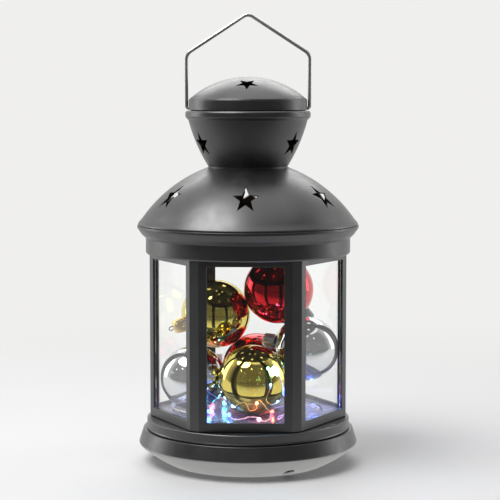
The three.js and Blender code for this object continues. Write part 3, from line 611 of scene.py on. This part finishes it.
def smooth_route(route, per_span=24):
    """Points on the smooth centripetal curve through a route."""
    p = np.array(route, float)
    p = np.vstack((2 * p[0] - p[1], p, 2 * p[-1] - p[-2]))
    points = []
    for i in range(1, len(p) - 2):
        d = [max(np.linalg.norm(p[i + k] - p[i + k - 1]) ** 0.5, 1e-4) for k in range(3)]
        before, here, after = (p[i + k] - p[i + k - 1] for k in range(3))
        t1 = before / d[0] - (p[i + 1] - p[i - 1]) / (d[0] + d[1]) + here / d[1]
        t2 = here / d[1] - (p[i + 2] - p[i]) / (d[1] + d[2]) + after / d[2]
        t1, t2 = t1 * d[1], t2 * d[1]
        for k in range(per_span + (i == len(p) - 3)):
            t = k / per_span
            square = (-3 * p[i] + 3 * p[i + 1] - 2 * t1 - t2) * t * t
            points.append(p[i] + t1 * t + square + (2 * p[i] - 2 * p[i + 1] + t1 + t2) * t**3)
    return np.array(points)


def by_length(points, count):
    """The points again, at even steps of the line's length."""
    steps = np.r_[0, np.linalg.norm(np.diff(points, axis=0), axis=1).cumsum()]
    at = np.linspace(0, steps[-1], count)
    return np.stack([np.interp(at, steps, points[:, k]) for k in range(3)], 1), steps[-1]


def carried_frames(points):
    """Two directions across a line at each of its points, carried along without twist."""
    tangents = np.gradient(points, axis=0)
    tangents /= np.linalg.norm(tangents, axis=1)[:, None]
    side = unit(np.cross(tangents[0], (0.3, 0.2, 1.0)))
    sides = []
    for t in tangents:
        side = unit(side - t * side.dot(t))
        sides.append(side)
    sides = np.array(sides)
    return sides, np.cross(tangents, sides)


def skin(rows, sides):
    """Faces of a tube of rows of corners, with its ends closed."""
    faces = []
    for i in range(rows - 1):
        for j in range(sides):
            a, b = i * sides + j, i * sides + (j + 1) % sides
            faces.append((a, b, b + sides, a + sides))
    faces.append(tuple(reversed(range(sides))))
    faces.append(tuple(range((rows - 1) * sides, rows * sides)))
    return faces


def tube(name, points, radius, sides):
    """A round tube along points, with closed ends."""
    points = np.asarray(points, float)
    u, v = carried_frames(points)
    verts = []
    for k, p in enumerate(points):
        for j in range(sides):
            t = 2 * math.pi * j / sides
            verts.append(tuple(p + radius * (u[k] * math.cos(t) + v[k] * math.sin(t))))
    return mesh_of(name, verts, skin(len(points), sides))


led_line, led_length = by_length(smooth_route(LED_ROUTE), LED_POINTS)
across, over = carried_frames(led_line)
twist = 2 * math.pi * np.linspace(0, led_length, len(led_line)) / TWIST_PITCH
strands = []
for phase in (0, math.pi):
    swing = across * np.cos(twist + phase)[:, None] + over * np.sin(twist + phase)[:, None]
    strands.append(tube("strand", led_line + swing * STRAND_R, STRAND_R, 7))
wire_mesh = smoothed(joined_mesh(strands))
led_wire = link("led_twisted_wire", wire_mesh, "housing", "led_wire", LED_WIRE, "led_wire")


def glow_of(name, color, strength=3.5, core=0.5):
    """Clear resin lit from inside, where the dimmest part has core of the strength."""
    made, nodes, links, bsdf = shader(name)
    where = place(nodes, "TexCoord")
    bsdf.inputs["Base Color"].default_value = (*[0.5 + c / 2 for c in color], 1)
    bsdf.inputs["Transmission Weight"].default_value = 0.6
    bsdf.inputs["IOR"].default_value = 1.5
    bsdf.inputs["Emission Color"].default_value = (*color, 1)
    cloud = noise(nodes, links, where, 700, 2)
    level = ranged(nodes, links, cloud, strength * core, strength)
    links.new(level, bsdf.inputs["Emission Strength"])
    links.new(ranged(nodes, links, cloud, 0.08, 0.2), bsdf.inputs["Roughness"])
    return made


LED_COLORS = {
    "white": (0.85, 0.9, 1.0),
    "cyan": (0.1, 0.75, 1.0),
    "blue": (0.08, 0.2, 1.0),
    "pink": (1.0, 0.3, 0.45),
    "red": (1.0, 0.16, 0.06),
}
GLOWS = {name: glow_of(f"led_{name}", color) for name, color in LED_COLORS.items()}
GLOWS["end"] = glow_of("led_end", (0.5, 0.92, 1.0), 7.0, 0.7)
GLOWS["faint"] = glow_of("led_faint", (0.6, 0.7, 1.0), 0.3)
LED_ORDER = ["white", "blue", "pink", "cyan", "blue", "pink", "red", "blue", "blue", "blue"]
LED_LAMP_WATTS = 0.007
LED_LAMP_R = 0.0012
LAMP_RISE = 2.2
FAINT_RISE = 9
FAINT_WATTS = {1: 0.0005, 8: 0.02}
DROP_HALF = 1.7
DROP_END_R = 0.42
DROP_SWELL = 0.78
END_DROP_SIZE = 1.6


def led_lamp(name, color, at, watts):
    """The light that an LED throws on its surroundings. The lamp itself stays out of sight."""
    data = bpy.data.lights.new(name, "POINT")
    data.color = LED_COLORS[color]
    data.energy = watts
    data.shadow_soft_size = LED_LAMP_R
    made = added(name, data)
    made.location = Vector(at) * MM
    made.visible_camera = made.visible_transmission = False


def at_step(step):
    """The number of the LED line's point in the middle of a step."""
    return round((step + 0.5) / LED_STEPS * (len(led_line) - 1))


def upright_to(direction):
    """The turn that lays +Z along a direction."""
    return Vector((0, 0, 1)).rotation_difference(Vector(direction)).to_matrix().to_4x4()


def resin_drop(step, seed, size=1.0):
    """An uneven drop of resin round the wire, at a step of the LED wire's length."""
    k = at_step(step)
    tangent = unit(led_line[k + 4] - led_line[k - 4])
    rows, sides = 14, 20
    shape = np.random.default_rng(seed)
    lean, fat = shape.uniform(-0.12, 0.12), shape.uniform(0.95, 1.04)
    points = []
    for i in range(rows + 1):
        t = i / rows
        z = -DROP_HALF + 2 * DROP_HALF * t
        swell = math.sin(math.pi * min(max(t + lean * math.sin(math.pi * t), 0), 1)) ** 0.6
        r = DROP_END_R + DROP_SWELL * swell * fat
        for j in range(sides):
            a = 2 * math.pi * j / sides
            dent = 1 + 0.035 * math.sin(2 * a + seed) + 0.02 * math.sin(3 * a + 2 * seed)
            points.append((r * dent * math.cos(a), r * dent * math.sin(a), z))
    mesh = moved(mesh_of(f"drop{seed}", points, skin(rows + 1, sides)), Matrix.Scale(size, 4))
    return moved(mesh, shift(*led_line[k]) @ upright_to(tangent))


for i, color in enumerate(LED_ORDER, 1):
    step = i * LED_STEPS / LED_COUNT - LED_BACK_STEPS
    faint = i in FAINT_WATTS
    look = GLOWS["faint" if faint else color]
    drop = resin_drop(step, i)
    link(f"led_drop_{i}", drop, "housing", "led_resin", look, f"led_bead_{i}")
    spot = led_line[at_step(step)] + (0, 0, FAINT_RISE if faint else LAMP_RISE)
    led_lamp(f"led_light_{i}", color, spot, FAINT_WATTS.get(i, LED_LAMP_WATTS))
tip = resin_drop(LED_STEPS - 1.0, LED_COUNT + 1, END_DROP_SIZE)
link("led_drop_end", tip, "housing", "led_resin", GLOWS["end"])
led_lamp("led_light_end", "cyan", led_line[-1] + (-0.5, -1.5, 2), LED_LAMP_WATTS)

# ---- Base
FOOT_INNER_R = 37.5
FOOT_RECESS = 1.5
RIVET_CIRCLE_R = 32.5
RIVET_HOLE_R = 1.8
VENT_CIRCLE_R = 48.6
VENT_R = 3
rivets = [on_circle(RIVET_CIRCLE_R, d) for d in around(3, 90)]
rivet_holes = [prism(circle(RIVET_HOLE_R, x, y, 24), 0, 4.2) for x, y in rivets]
vents = [prism(circle(VENT_R, *on_circle(VENT_CIRCLE_R, d)), -1, 9.4) for d in around(3, -62.4)]
BOWL_R = 58.7
BOWL_TOP_Z = 9.5
RIM_R = 59.85
DISH_TOP_Z = 18.75
dish = [
    (0, FOOT_RECESS, 0), (FOOT_INNER_R - FOOT_RECESS, FOOT_RECESS, 0.9), (FOOT_INNER_R, 0, 1.0),
    (43.8, 0, 1.1), *arc((43.8, 0), (BOWL_R, BOWL_TOP_Z), 0.5, 12)[1:-1],
    (BOWL_R, BOWL_TOP_Z, 0.8), (RIM_R, 10.9, 0.9), (57.3, DISH_TOP_Z, 0.45), (52, DISH_TOP_Z, 0),
]
# The dish's pale lower part is painted reflection of the floor.
turned_piece(
    "base_dish_shell", sheet(dish), "base_dish", vents + rivet_holes, body="base", look=DISH_PAINT_PAINTED_REFLECTION
)

DRUM_R = 40
drum = [(30, 2.6, 0), (DRUM_R, 2.6, 1.1), (DRUM_R, FLOOR_Z, 1.0), (0, FLOOR_Z, 0)]
lugs = [wedge(44.5, 39.6, d, 8, 20.1, 21.1) for d in around(3)]
# The drum takes the floor's finish, with its blue tint of painted LED light.
turned_piece(
    "floor_drum_shell", sheet(drum), "floor_drum", rivet_holes, lugs,
    body="base", slot="floor_steel", look=BLUE_LIT_FLOOR_STEEL, steps=144,
)
rivet_outline = [
    (0, 0.3, 0), (2.2, 0.3, 0.5), (3, 0.75, 0.3), (3, 1.2, 0.12), (1.5, 1.2, 0.1), (1.5, 3.7, 0.1),
    (3, 3.7, 0.12), (3, 4.15, 0.3), (2.2, 4.6, 0.5), (0, 4.6, 0),
]
for i, (x, y) in enumerate(rivets, 1):
    mesh, curve = lathe(f"rivet{i}", rivet_outline, 32)
    shade_turned(mesh, curve)
    moved(mesh, shift(x, y, 0))
    link(f"base_rivet_head_{i}", mesh, "base", "rivet_steel", RIVET_STEEL, f"base_rivet_{i}")

# ---- Lower ring and floor plate
RING_R = 55.3
RING_Z = 18.9
RING_TOP_Z = 24.5
ring = [
    (41, RING_Z, 0), (RING_R, RING_Z, 0.25), (RING_R + 0.35, RING_Z + 0.5, 0.3),
    (RING_R, RING_Z + 1.2, 0.3), (RING_R, RING_TOP_Z - 0.4, 0.3), (RING_R - 0.4, RING_TOP_Z, 0.3),
    (44.5, RING_TOP_Z, 0),
]
notches = [wedge(45.1, 40.4, d, 9.5, 18.3, 20.3) for d in around(3, -20)]
turned_piece("lower_ring_shell", sheet(ring), "lower_ring", notches)


FLANGE_WIDTH = 22


def hexagon(face, corner):
    """An outline's twelve corners, from the face at 30 degrees round, and half a face's width."""
    turn = math.pi / SIDES
    half = (corner - face * math.cos(turn)) / math.sin(turn)
    points = []
    for d in around(SIDES, 30):
        c, s = math.cos(math.radians(d)), math.sin(math.radians(d))
        points += [(c * face - s * side, s * face + c * side) for side in (-half, half)]
    return points, half


def floor_plate():
    """The floor's outer part: a hexagon round the drum, with an edge turned down at each window."""
    outer, _ = hexagon(FACE_APOTHEM - SHEET - FIT, CORNER_APOTHEM - SHEET - FIT)
    angles = sorted(
        {round(math.atan2(y, x) % (2 * math.pi), 9) for x, y in outer}
        | {round(2 * math.pi * k / 120, 9) for k in range(120)}
    )
    rim = []
    for t in angles:
        c, s = math.cos(t), math.sin(t)
        reach = 1e9
        for (x0, y0), (x1, y1) in zip(outer, outer[1:] + outer[:1]):
            det = c * (y1 - y0) - s * (x1 - x0)
            if abs(det) > 1e-9:
                r = (x0 * (y1 - y0) - y0 * (x1 - x0)) / det
                if r > 0:
                    reach = min(reach, r)
        rim.append((reach * c, reach * s))
    hole = [((DRUM_R + FIT) * math.cos(t), (DRUM_R + FIT) * math.sin(t)) for t in angles]
    n = len(angles)
    points = []
    for z in (FLOOR_Z, FLOOR_Z - SHEET):
        points += [(x, y, z) for x, y in rim] + [(x, y, z) for x, y in hole]
    faces = []
    for k in range(n):
        j = (k + 1) % n
        faces += [
            (n + k, k, j, n + j),
            (2 * n + k, 3 * n + k, 3 * n + j, 2 * n + j),
            (k, 2 * n + k, 2 * n + j, j),
            (3 * n + k, n + k, n + j, 3 * n + j),
        ]
    plate = mesh_of("floor_plate", points, faces, smooth=False)
    edge = FACE_APOTHEM - SHEET - FIT
    half = FLANGE_WIDTH / 2
    flanges = [
        moved(slab(edge - SHEET, edge, -half, half, BODY_Z, FLOOR_Z - SHEET / 2), turn_z(d))
        for d in around(SIDES, 30)
    ]
    return cut(plate, flanges, "UNION")


def soften(piece, width, segments=2, angle=30):
    """Rounds a piece's hard edges a little, and keeps its flat faces flat."""
    bevel = piece.modifiers.new("edges", "BEVEL")
    bevel.width = width * MM
    bevel.segments = segments
    bevel.limit_method = "ANGLE"
    bevel.angle_limit = math.radians(angle)
    bevel.harden_normals = True
    smoothed(piece.data)


def flat_shaded(mesh, angle=30):
    """The mesh smooth but for its edges that are sharper than an angle."""
    smoothed(mesh).set_sharp_from_angle(angle=math.radians(angle))
    return mesh


# The floor plate's blue tint is painted LED light.
link("floor_plate", flat_shaded(floor_plate()), "housing", "floor_steel", BLUE_LIT_FLOOR_STEEL, "sill_plate")


# ---- Body: one sheet's look over the six panels, with hemmed windows and tabs behind the glass
def body_shell():
    """The hexagonal sheet as rings of four corners at each side: face, window, hem and back."""

    def rectangle(n, half, z0, z1):
        return [(n, -half, z0), (n, half, z0), (n, half, z1), (n, -half, z1)]

    def window(n, margin):
        return rectangle(n, WINDOW_WIDTH / 2 + margin, SILL_Z - margin, WINDOW_TOP_Z + margin)

    inside = FACE_APOTHEM - SHEET
    _, outer_half = hexagon(FACE_APOTHEM, CORNER_APOTHEM)
    _, inner_half = hexagon(inside, CORNER_APOTHEM - SHEET)
    frames = [
        rectangle(FACE_APOTHEM, outer_half, BODY_Z, BODY_TOP_Z),
        window(FACE_APOTHEM, 0),
        window(FACE_APOTHEM - REVEAL_DEPTH, 0),
        window(FACE_APOTHEM - REVEAL_DEPTH, HEM),
        window(inside, HEM),
        rectangle(inside, inner_half, BODY_Z, BODY_TOP_Z),
    ]
    points, faces, corners = [], [], []
    for d in around(SIDES, 30):
        c, s = math.cos(math.radians(d)), math.sin(math.radians(d))
        rings = []
        for ring in frames:
            rings.append(list(range(len(points), len(points) + 4)))
            points += [(x * c - y * s, x * s + y * c, z) for x, y, z in ring]
        for a, b in zip(rings, rings[1:]):
            for k in range(4):
                j = (k + 1) % 4
                faces.append((a[k], a[j], b[j], b[k]))
        corners.append((rings[0], rings[-1]))
        faces.append((rings[0][1], rings[0][0], rings[-1][0], rings[-1][1]))
        faces.append((rings[0][3], rings[0][2], rings[-1][2], rings[-1][3]))
    for (out_a, in_a), (out_b, in_b) in zip(corners, corners[1:] + corners[:1]):
        faces.append((out_a[1], out_b[0], out_b[3], out_a[2]))
        faces.append((in_b[0], in_a[1], in_a[2], in_b[3]))
        faces.append((out_b[0], out_a[1], in_a[1], in_b[0]))
        faces.append((out_a[2], out_b[3], in_b[3], in_a[2]))
    return outward(mesh_of("body_shell", points, faces))


def glazing_strips():
    """Channels down both sides of each pane: a wall off the body and a lip behind the glass."""
    strips = []
    side = PANE_HALF + FIT
    lip = WINDOW_WIDTH / 2
    front, back = FACE_APOTHEM - SHEET * 0.9, CHAMBER - SHEET
    lip_front, lip_back = CHAMBER + 0.15, CHAMBER - 0.4
    for d in around(SIDES, 30):
        for s in (-1, 1):
            plan = [
                (front, s * side), (front, s * (side + SHEET)), (back, s * (side + SHEET)),
                (back, s * side), (lip_back, s * lip), (lip_front, s * lip), (lip_front, s * side),
            ]
            if s < 0:
                plan.reverse()
            strips.append(moved(prism(plan, SILL_Z + 1, WINDOW_TOP_Z - 1), turn_z(d)))
    return strips


panels = [f"window_panel_{i}" for i in range(1, SIDES + 1)]
shell = link("body_shell", body_shell(), "housing", "black_paint", PAINT, *panels)
soften(shell, 0.36, segments=3, angle=20)
strips = link("glazing_strips", joined_mesh(glazing_strips()), "housing", "black_paint", PAINT)
soften(strips, 0.12)
dress(GLASS, *[f"glass_pane_{i}" for i in range(1, SIDES + 1)])

# ---- Collar, dome, cup and cap
COLLAR_R = 55.6
LIP_R = 60.2
LIP_TOP_Z = 129.8
SHELF_Z = 115.8
collar = [
    (COLLAR_R - 1.2, 114.6, 0.2), (54.9, 114.4, 0.2), (COLLAR_R, 115.2, 0.45),
    (COLLAR_R, 122.9, 0.5), (57.9, 125.1, 1.6), (LIP_R, 128.4, 1.2), (LIP_R, LIP_TOP_Z, 0.3),
    (LIP_R - SHEET, LIP_TOP_Z, 0.3), (LIP_R - SHEET, 128.8, 0.5), (57.4, 125.8, 1.2),
    (COLLAR_R - SHEET, 123.4, 0.8), (COLLAR_R - SHEET, SHELF_Z + SHEET, 0.4),
    (45, SHELF_Z + SHEET, 0.25), (45, SHELF_Z, 0.25), (COLLAR_R - 1.2, SHELF_Z, 0.2),
]
turned_piece("collar_shell", collar, "upper_collar")

DOME_Z = 130.1
DOME_TOP_Z = 160.85
DOME_STAR_R = 46.1
DOME_STAR_DRAWN = (1.48, 1.1)
dome_curve = arc((59.7, DOME_Z), (22.15, DOME_TOP_Z), 3.97, 40)
dome_turn = [(59.8, DOME_Z - 0.15, 0.3), (59.75, DOME_Z + 0.7, 2.4)]
dome_rise = [p for p in dome_curve if p[1] > DOME_Z + 2.6]
dome = [(58.0, DOME_Z - 2, 0), (58.0, DOME_Z - 0.15, 0.2), *dome_turn, *dome_rise]
dome_stars = stars_round(dome_curve, 0, DOME_STAR_R, 6, 30, True, DOME_STAR_DRAWN)
turned_piece("dome_shell", sheet(dome), "dome", dome_stars, steps=216)

CUP_Z = 161.45
CUP_STAR_Z = CUP_Z + 12.2
CUP_STAR_DRAWN = (1.16, 1.05)
BEAD_R = 33.91
BAND_R = 30.9
PIVOT_Z = 192.95
HOOK_HOLE_R = 1.3
cup_curve = arc((21.55, CUP_Z), (32.26, CUP_Z + 25), 1.01, 24)
cup = [
    (21.55, CUP_Z - 4.2, 0), (*cup_curve[0][:2], 2.0), *cup_curve[1:-1], (*cup_curve[-1][:2], 0.5),
    (BEAD_R, 188.05, 1.4), (BEAD_R, 190.65, 1.3), (BEAD_R - SHEET, 191.45, 0.5),
    (BAND_R, 191.45, 0.4), (BAND_R, 195.95, 0),
]
hooks = [
    moved(
        prism(circle(HOOK_HOLE_R, steps=24), -2.65, 2.65),
        shift(32 * s, 0, PIVOT_Z) @ Matrix.Rotation(math.pi / 2, 4, "Y"),
    )
    for s in (-1, 1)
]
cup_tabs = [
    moved(slab(21.15, 25.15, -3.5, 3.5, CUP_Z - 4.2, CUP_Z - 3.4), turn_z(d)) for d in around(4, 45)
]
cup_stars = stars_round(cup_curve, 1, CUP_STAR_Z, 3, 90, True, CUP_STAR_DRAWN)
turned_piece("cup_shell", sheet(cup), "neck_cup", cup_stars + hooks, cup_tabs)

CAP_Z = 191.75
CAP_TOP_Z = CAP_Z + 18
CAP_R = 32
CAP_STAR_R = 19
cap_curve = arc((31.7, CAP_Z + 6), (0, CAP_TOP_Z), 3.1, 30)
cap_curve[-1] = (0, CAP_TOP_Z, 0)
cap = [(CAP_R, CAP_Z, 0), (CAP_R, CAP_Z + 5.2, 0.5), (*cap_curve[0][:2], 0.8), *cap_curve[1:]]
cap_stars = stars_round(cap_curve, 0, CAP_STAR_R, 3, 270, False)
turned_piece("cap_shell", sheet(cap), "vent_cap", cap_stars + hooks)


# ---- Handle: one wire, hooked in through the band on both sides
def bent(corners, bends, per_bend=10, straight=1.5):
    """Points along a wire bent round its corners. A bend's size is its run along both legs."""
    corners = [np.array(c, float) for c in corners]
    line = [corners[0]]
    for i, bend in enumerate(bends, 1):
        here = corners[i]
        a = here + unit(corners[i - 1] - here) * bend
        b = here + unit(corners[i + 1] - here) * bend
        shares = np.linspace(0, 1, per_bend)
        line += [(1 - t) ** 2 * a + 2 * t * (1 - t) * here + t * t * b for t in shares]
    line.append(corners[-1])
    dense = [line[0]]
    for p in line[1:]:
        steps = max(1, int(np.linalg.norm(p - dense[-1]) / straight))
        start = dense[-1]
        dense += [start + (p - start) * k / steps for k in range(1, steps + 1)]
    return np.array(dense)


HANDLE_HALF = 33.3
HANDLE_WIRE_R = 1.0
HOOK_RUN = 5.3
SHOULDER_Z = PIVOT_Z + 29
PEAK_Z = SHOULDER_Z + 21.65
handle_line = bent(
    [
        (HANDLE_HALF - HOOK_RUN, 0, PIVOT_Z), (HANDLE_HALF, 0, PIVOT_Z),
        (HANDLE_HALF, 0, SHOULDER_Z), (0, 0, PEAK_Z), (-HANDLE_HALF, 0, SHOULDER_Z),
        (-HANDLE_HALF, 0, PIVOT_Z), (HOOK_RUN - HANDLE_HALF, 0, PIVOT_Z),
    ],
    [1.3, 3, 3, 3, 1.3],
)
handle_mesh = tube("handle_wire", handle_line, HANDLE_WIRE_R, 20)
link("handle_wire", handle_mesh, "handle", "handle_steel", WIRE_STEEL, "handle")

# ---- Baubles: a blown ball, a fluted crown and a wire eye.
# Each has its colour, its radius, its centre and the direction of its crown.
BAUBLES = {
    "gold_bauble_front": ("gold", 19, (3.2, -18.8, 47.3), (-0.5533, 0.664, -0.503)),
    "gold_bauble_upper": ("gold", 19, (-18.265, 19.763, 78.053), (-0.8742, -0.4172, -0.2484)),
    "red_bauble_upper": ("red", 19, (16.333, 12.49, 92.782), (0.679, 0.2247, -0.6989)),
    "red_bauble_back": ("red", 19, (4.0, 24.8, 47.3), (0.8889, 0.1111, -0.4444)),
    "silver_bauble_left": ("silver", 17.5, (-29.708, -2.396, 45.8), (0.4302, -0.8803, 0.2001)),
    "silver_bauble_right": ("silver", 17.5, (31.408, 0, 61.622), (-0.9774, 0, 0.2116)),
}
NECK_R = 2.6
NECK_HEIGHT = 2.6
CROWN_R = 4.3
CROWN_HEIGHT = 6.6
CROWN_SHEET = 0.3
FLUTES = 18
FLUTE_DEPTH = 0.224
SCALLOP = 0.1
EYE_R = 1.35
EYE_WIRE_R = 0.4
EYE_GAP = 0.5


def crown_foot(radius):
    """Where the crown's skirt ends, along the bauble's own axis."""
    return math.sqrt((radius + FIT) ** 2 - (CROWN_R - 0.5) ** 2)


def ball_outline(radius):
    """A ball's outline from its far pole to the top of its neck."""
    foot = math.asin((NECK_R + 0.9) / radius)
    line = []
    for i in range(49):
        t = math.pi - (math.pi - foot) * i / 48
        line.append((radius * math.sin(t) if i else 0, radius * math.cos(t), 0))
    line[-1] = (*line[-1][:2], 1.6)
    top = radius + NECK_HEIGHT
    return [*line, (NECK_R, radius + 0.35, 0.5), (NECK_R, top, 0.3), (0, top, 0)]


def fluted_crown(name, radius):
    """A thin pressed cap over the neck: fluted skirt with a scalloped edge, stepped round top."""
    foot = crown_foot(radius)
    steps = FLUTES * 8
    top = foot + CROWN_HEIGHT
    rows = [
        (CROWN_R, foot + 0.1, 1.0), (CROWN_R - 0.12, foot + 1.2, 1.0),
        (CROWN_R - 0.22, foot + 2.6, 1.0), (CROWN_R - 0.34, foot + 4.0, 0.9),
        (CROWN_R - 0.5, top - 1.5, 0.55), (CROWN_R - 0.75, top - 0.8, 0.15),
        (CROWN_R - 1.1, top - 0.4, 0.0), (CROWN_R - 1.6, top - 0.3, 0.0),
        (CROWN_R - 1.85, top - 0.1, 0.0), (CROWN_R - 2.4, top, 0.0), (0.0, top, 0.0),
    ]
    inside = [
        (max(r - CROWN_SHEET, 0), z - (CROWN_SHEET if r < CROWN_R - 0.9 else 0.0), wave)
        for r, z, wave in reversed(rows)
    ]
    points, rings = [], []
    for r, z, wave in rows + inside:
        if r < 0.2:
            rings.append([len(points)] * steps)
            points.append((0, 0, z))
            continue
        rings.append(list(range(len(points), len(points) + steps)))
        scallop = SCALLOP if z < foot + 0.5 else 0
        for k in range(steps):
            t = 2 * math.pi * k / steps
            ripple = math.cos(FLUTES * t)
            reach = r - FLUTE_DEPTH * wave * (1 - ripple) / 2
            points.append((reach * math.cos(t), reach * math.sin(t), z + scallop * (1 - ripple)))
    return outward(mesh_of(name, points, ring_faces(rings)))


def wire_eye(name, radius):
    """A loop of wire on the crown's top, open where its two ends go in."""
    top = crown_foot(radius) + CROWN_HEIGHT
    centre = top + 0.1 + EYE_WIRE_R + EYE_R * math.cos(EYE_GAP)
    line = []
    for k in range(41):
        t = -math.pi / 2 + EYE_GAP + 2 * (math.pi - EYE_GAP) * k / 40
        line.append((EYE_R * math.cos(t), 0, centre + EYE_R * math.sin(t)))
    return tube(name, line, EYE_WIRE_R, 12)


for name, (color, radius, centre, crown) in BAUBLES.items():
    at = shift(*centre) @ upright_to(crown)
    ball, curve = lathe(f"{name}_ball", ball_outline(radius), 96)
    shade_turned(ball, curve)
    moved(ball, at)
    link(f"{name}_glass", ball, "housing", f"{color}_mirror", MIRRORS[color], f"{name}_ball")
    cap_slot = {"gold": "gold_crown", "silver": "silver_crown", "red": "dark_crown"}[color]
    cap_mesh = moved(fluted_crown(f"{name}_cap", radius), at)
    link(f"{name}_cap", cap_mesh, "housing", cap_slot, CROWNS[color], f"{name}_crown")
    eye = moved(wire_eye(f"{name}_loop", radius), at)
    link(f"{name}_loop", eye, "housing", "eye_wire", EYE_WIRE, f"{name}_eye")

# ---- Battery box: the frame's own solids, with their looks
dress(BOX_PLASTIC, "battery_box", "battery_door")
dress(CELL_STEEL, "battery_cell_1", "battery_cell_2")
dress(CONTACT_STEEL, "contact_plate", "contact_spring")
dress(SWITCH_PLASTIC, "battery_switch")


# ---- Stage: pale floor, white surroundings and soft lamps
BACKDROP = (0.87, 0.865, 0.855)
THROUGH_GLASS = 1.13
DIFFUSE_LEVEL = 0.1
ROOM_FRONT_LEVEL = 0.17
ROOM_TURN = (-0.2, 0.35)
FLOOR_COLOR = (0.68, 0.68, 0.685)
FLOOR_CLOUD = 0.01
FLOOR_FRONT_LEVEL = 0.08
FLOOR_TURN = (-0.28, -0.08)
FLOOR_BLEND = (0.12, 0.6)
FLOOR_IN_MIRRORS = 0.9


def between(nodes, links, share, low, high):
    """A value from low to high by a share, each a number or a socket."""
    mix = place(nodes, "Mix", data_type="FLOAT")
    for name, value in (("Factor", share), ("A", low), ("B", high)):
        if isinstance(value, (int, float)):
            mix.inputs[name].default_value = value
        else:
            links.new(value, mix.inputs[name])
    return mix.outputs["Result"]


def ray_kinds(nodes, links):
    """Three values of a ray.

    Whether it has met a mirror on its way, whether it comes straight or through glass, and how
    bright the backdrop is to it.
    """
    path = place(nodes, "LightPath")
    mirrored = place(nodes, "Math", operation="GREATER_THAN")
    mirrored.inputs[1].default_value = 0.5
    links.new(path.outputs["Glossy Depth"], mirrored.inputs[0])
    straight = place(nodes, "Math", operation="MAXIMUM")
    links.new(path.outputs["Is Camera Ray"], straight.inputs[0])
    links.new(path.outputs["Is Transmission Ray"], straight.inputs[1])
    through = between(nodes, links, path.outputs["Is Transmission Ray"], 1.0, THROUGH_GLASS)
    return mirrored.outputs["Value"], straight.outputs["Value"], through


def pale_floor():
    """A matt floor that keeps the shadow near the lantern and runs into the backdrop."""
    made, nodes, links, bsdf = shader("pale_floor")
    where = place(nodes, "TexCoord")
    darker, lighter = ([c + cloud for c in FLOOR_COLOR] for cloud in (-FLOOR_CLOUD, FLOOR_CLOUD))
    tinted(nodes, links, bsdf, noise(nodes, links, where, 6, 2), darker, lighter)
    bsdf.inputs["Roughness"].default_value = 0.6
    bsdf.inputs["Specular IOR Level"].default_value = 0.2
    away = place(nodes, "VectorMath", operation="LENGTH")
    links.new(where.outputs["Object"], away.inputs[0])
    far = ranged(nodes, links, away.outputs["Value"], 0.0, 1.0, *FLOOR_BLEND)
    far.node.interpolation_type = "SMOOTHSTEP"
    mirrored, straight, through = ray_kinds(nodes, links)
    seen = place(nodes, "Math", operation="MULTIPLY")
    links.new(far, seen.inputs[0])
    links.new(straight, seen.inputs[1])
    share = between(nodes, links, mirrored, seen.outputs["Value"], FLOOR_IN_MIRRORS)
    y = along_axis(nodes, links, where.outputs["Object"], "Y")
    in_front = ranged(nodes, links, y, FLOOR_FRONT_LEVEL, 1.0, *FLOOR_TURN)
    backdrop = place(nodes, "Emission", in_Color=(*BACKDROP, 1))
    links.new(between(nodes, links, mirrored, through, in_front), backdrop.inputs["Strength"])
    shown(nodes, links, share, bsdf.outputs["BSDF"], backdrop.outputs["Emission"])
    return made


def disc(radii, sides=64):
    """A flat disc of rings, its radii in metres."""
    points = [(0, 0, 0)]
    faces = []
    for n, r in enumerate(radii):
        first = 1 + n * sides
        points += [(x, y, 0) for x, y in circle(r / MM, steps=sides)]
        for k in range(sides):
            j = (k + 1) % sides
            if n == 0:
                faces.append((0, first + k, first + j))
            else:
                before = first - sides
                faces.append((before + k, first + k, first + j, before + j))
    return mesh_of("floor", points, faces)


floor = link("floor", disc([0.3, 0.8, 2, 5, 12]), None, None, pale_floor())

world = bpy.data.worlds.new("studio")
world.use_nodes = True
bpy.context.scene.world = world
nodes, links = world.node_tree.nodes, world.node_tree.links
background = nodes["Background"]
background.inputs["Color"].default_value = (*BACKDROP, 1)
back = along_axis(nodes, links, place(nodes, "TexCoord").outputs["Generated"], "Y")
room = ranged(nodes, links, back, ROOM_FRONT_LEVEL, 1.0, *ROOM_TURN)
mirrored, straight, through = ray_kinds(nodes, links)
plain = between(nodes, links, straight, DIFFUSE_LEVEL, through)
links.new(between(nodes, links, mirrored, plain, room), background.inputs["Strength"])


def lamp(name, place_at, target, size, watts):
    """An oval lamp that faces its target, all in metres."""
    data = bpy.data.lights.new(name, "AREA")
    data.shape = "ELLIPSE"
    data.size, data.size_y = size
    data.energy = watts
    made = added(name, data)
    made.location = place_at
    aim = Vector(target) - Vector(place_at)
    made.rotation_euler = aim.to_track_quat("-Z", "Y").to_euler()


MIDDLE = (0, 0, 0.12)
lamp("key", (-0.48, -0.33, 1.05), MIDDLE, (0.9, 0.6), 11.5)
lamp("overhead", (0.1, -0.05, 1.25), MIDDLE, (1.2, 1.2), 3.6)
lamp("back_panel", (0.0, 1.1, 1.0), (0, 0, 0.15), (1.5, 0.8), 8)
lamp("left_edge", (-0.95, 0.35, 0.35), MIDDLE, (0.4, 1.0), 2.5)
lamp("right_edge", (0.95, 0.35, 0.35), MIDDLE, (0.4, 1.0), 2)

CEILING_SPOTS = [(-0.8, -0.35, 0.51), (-0.53, -0.57, 0.6), (-0.05, -0.7, 0.75), (0.45, -0.58, 0.73)]
for i, spot in enumerate(CEILING_SPOTS, 1):
    lamp(f"ceiling_spot_{i}", spot, (0, 0, 0.08), (0.035, 0.035), 0.05)

bpy.context.scene.view_settings.view_transform = "Standard"
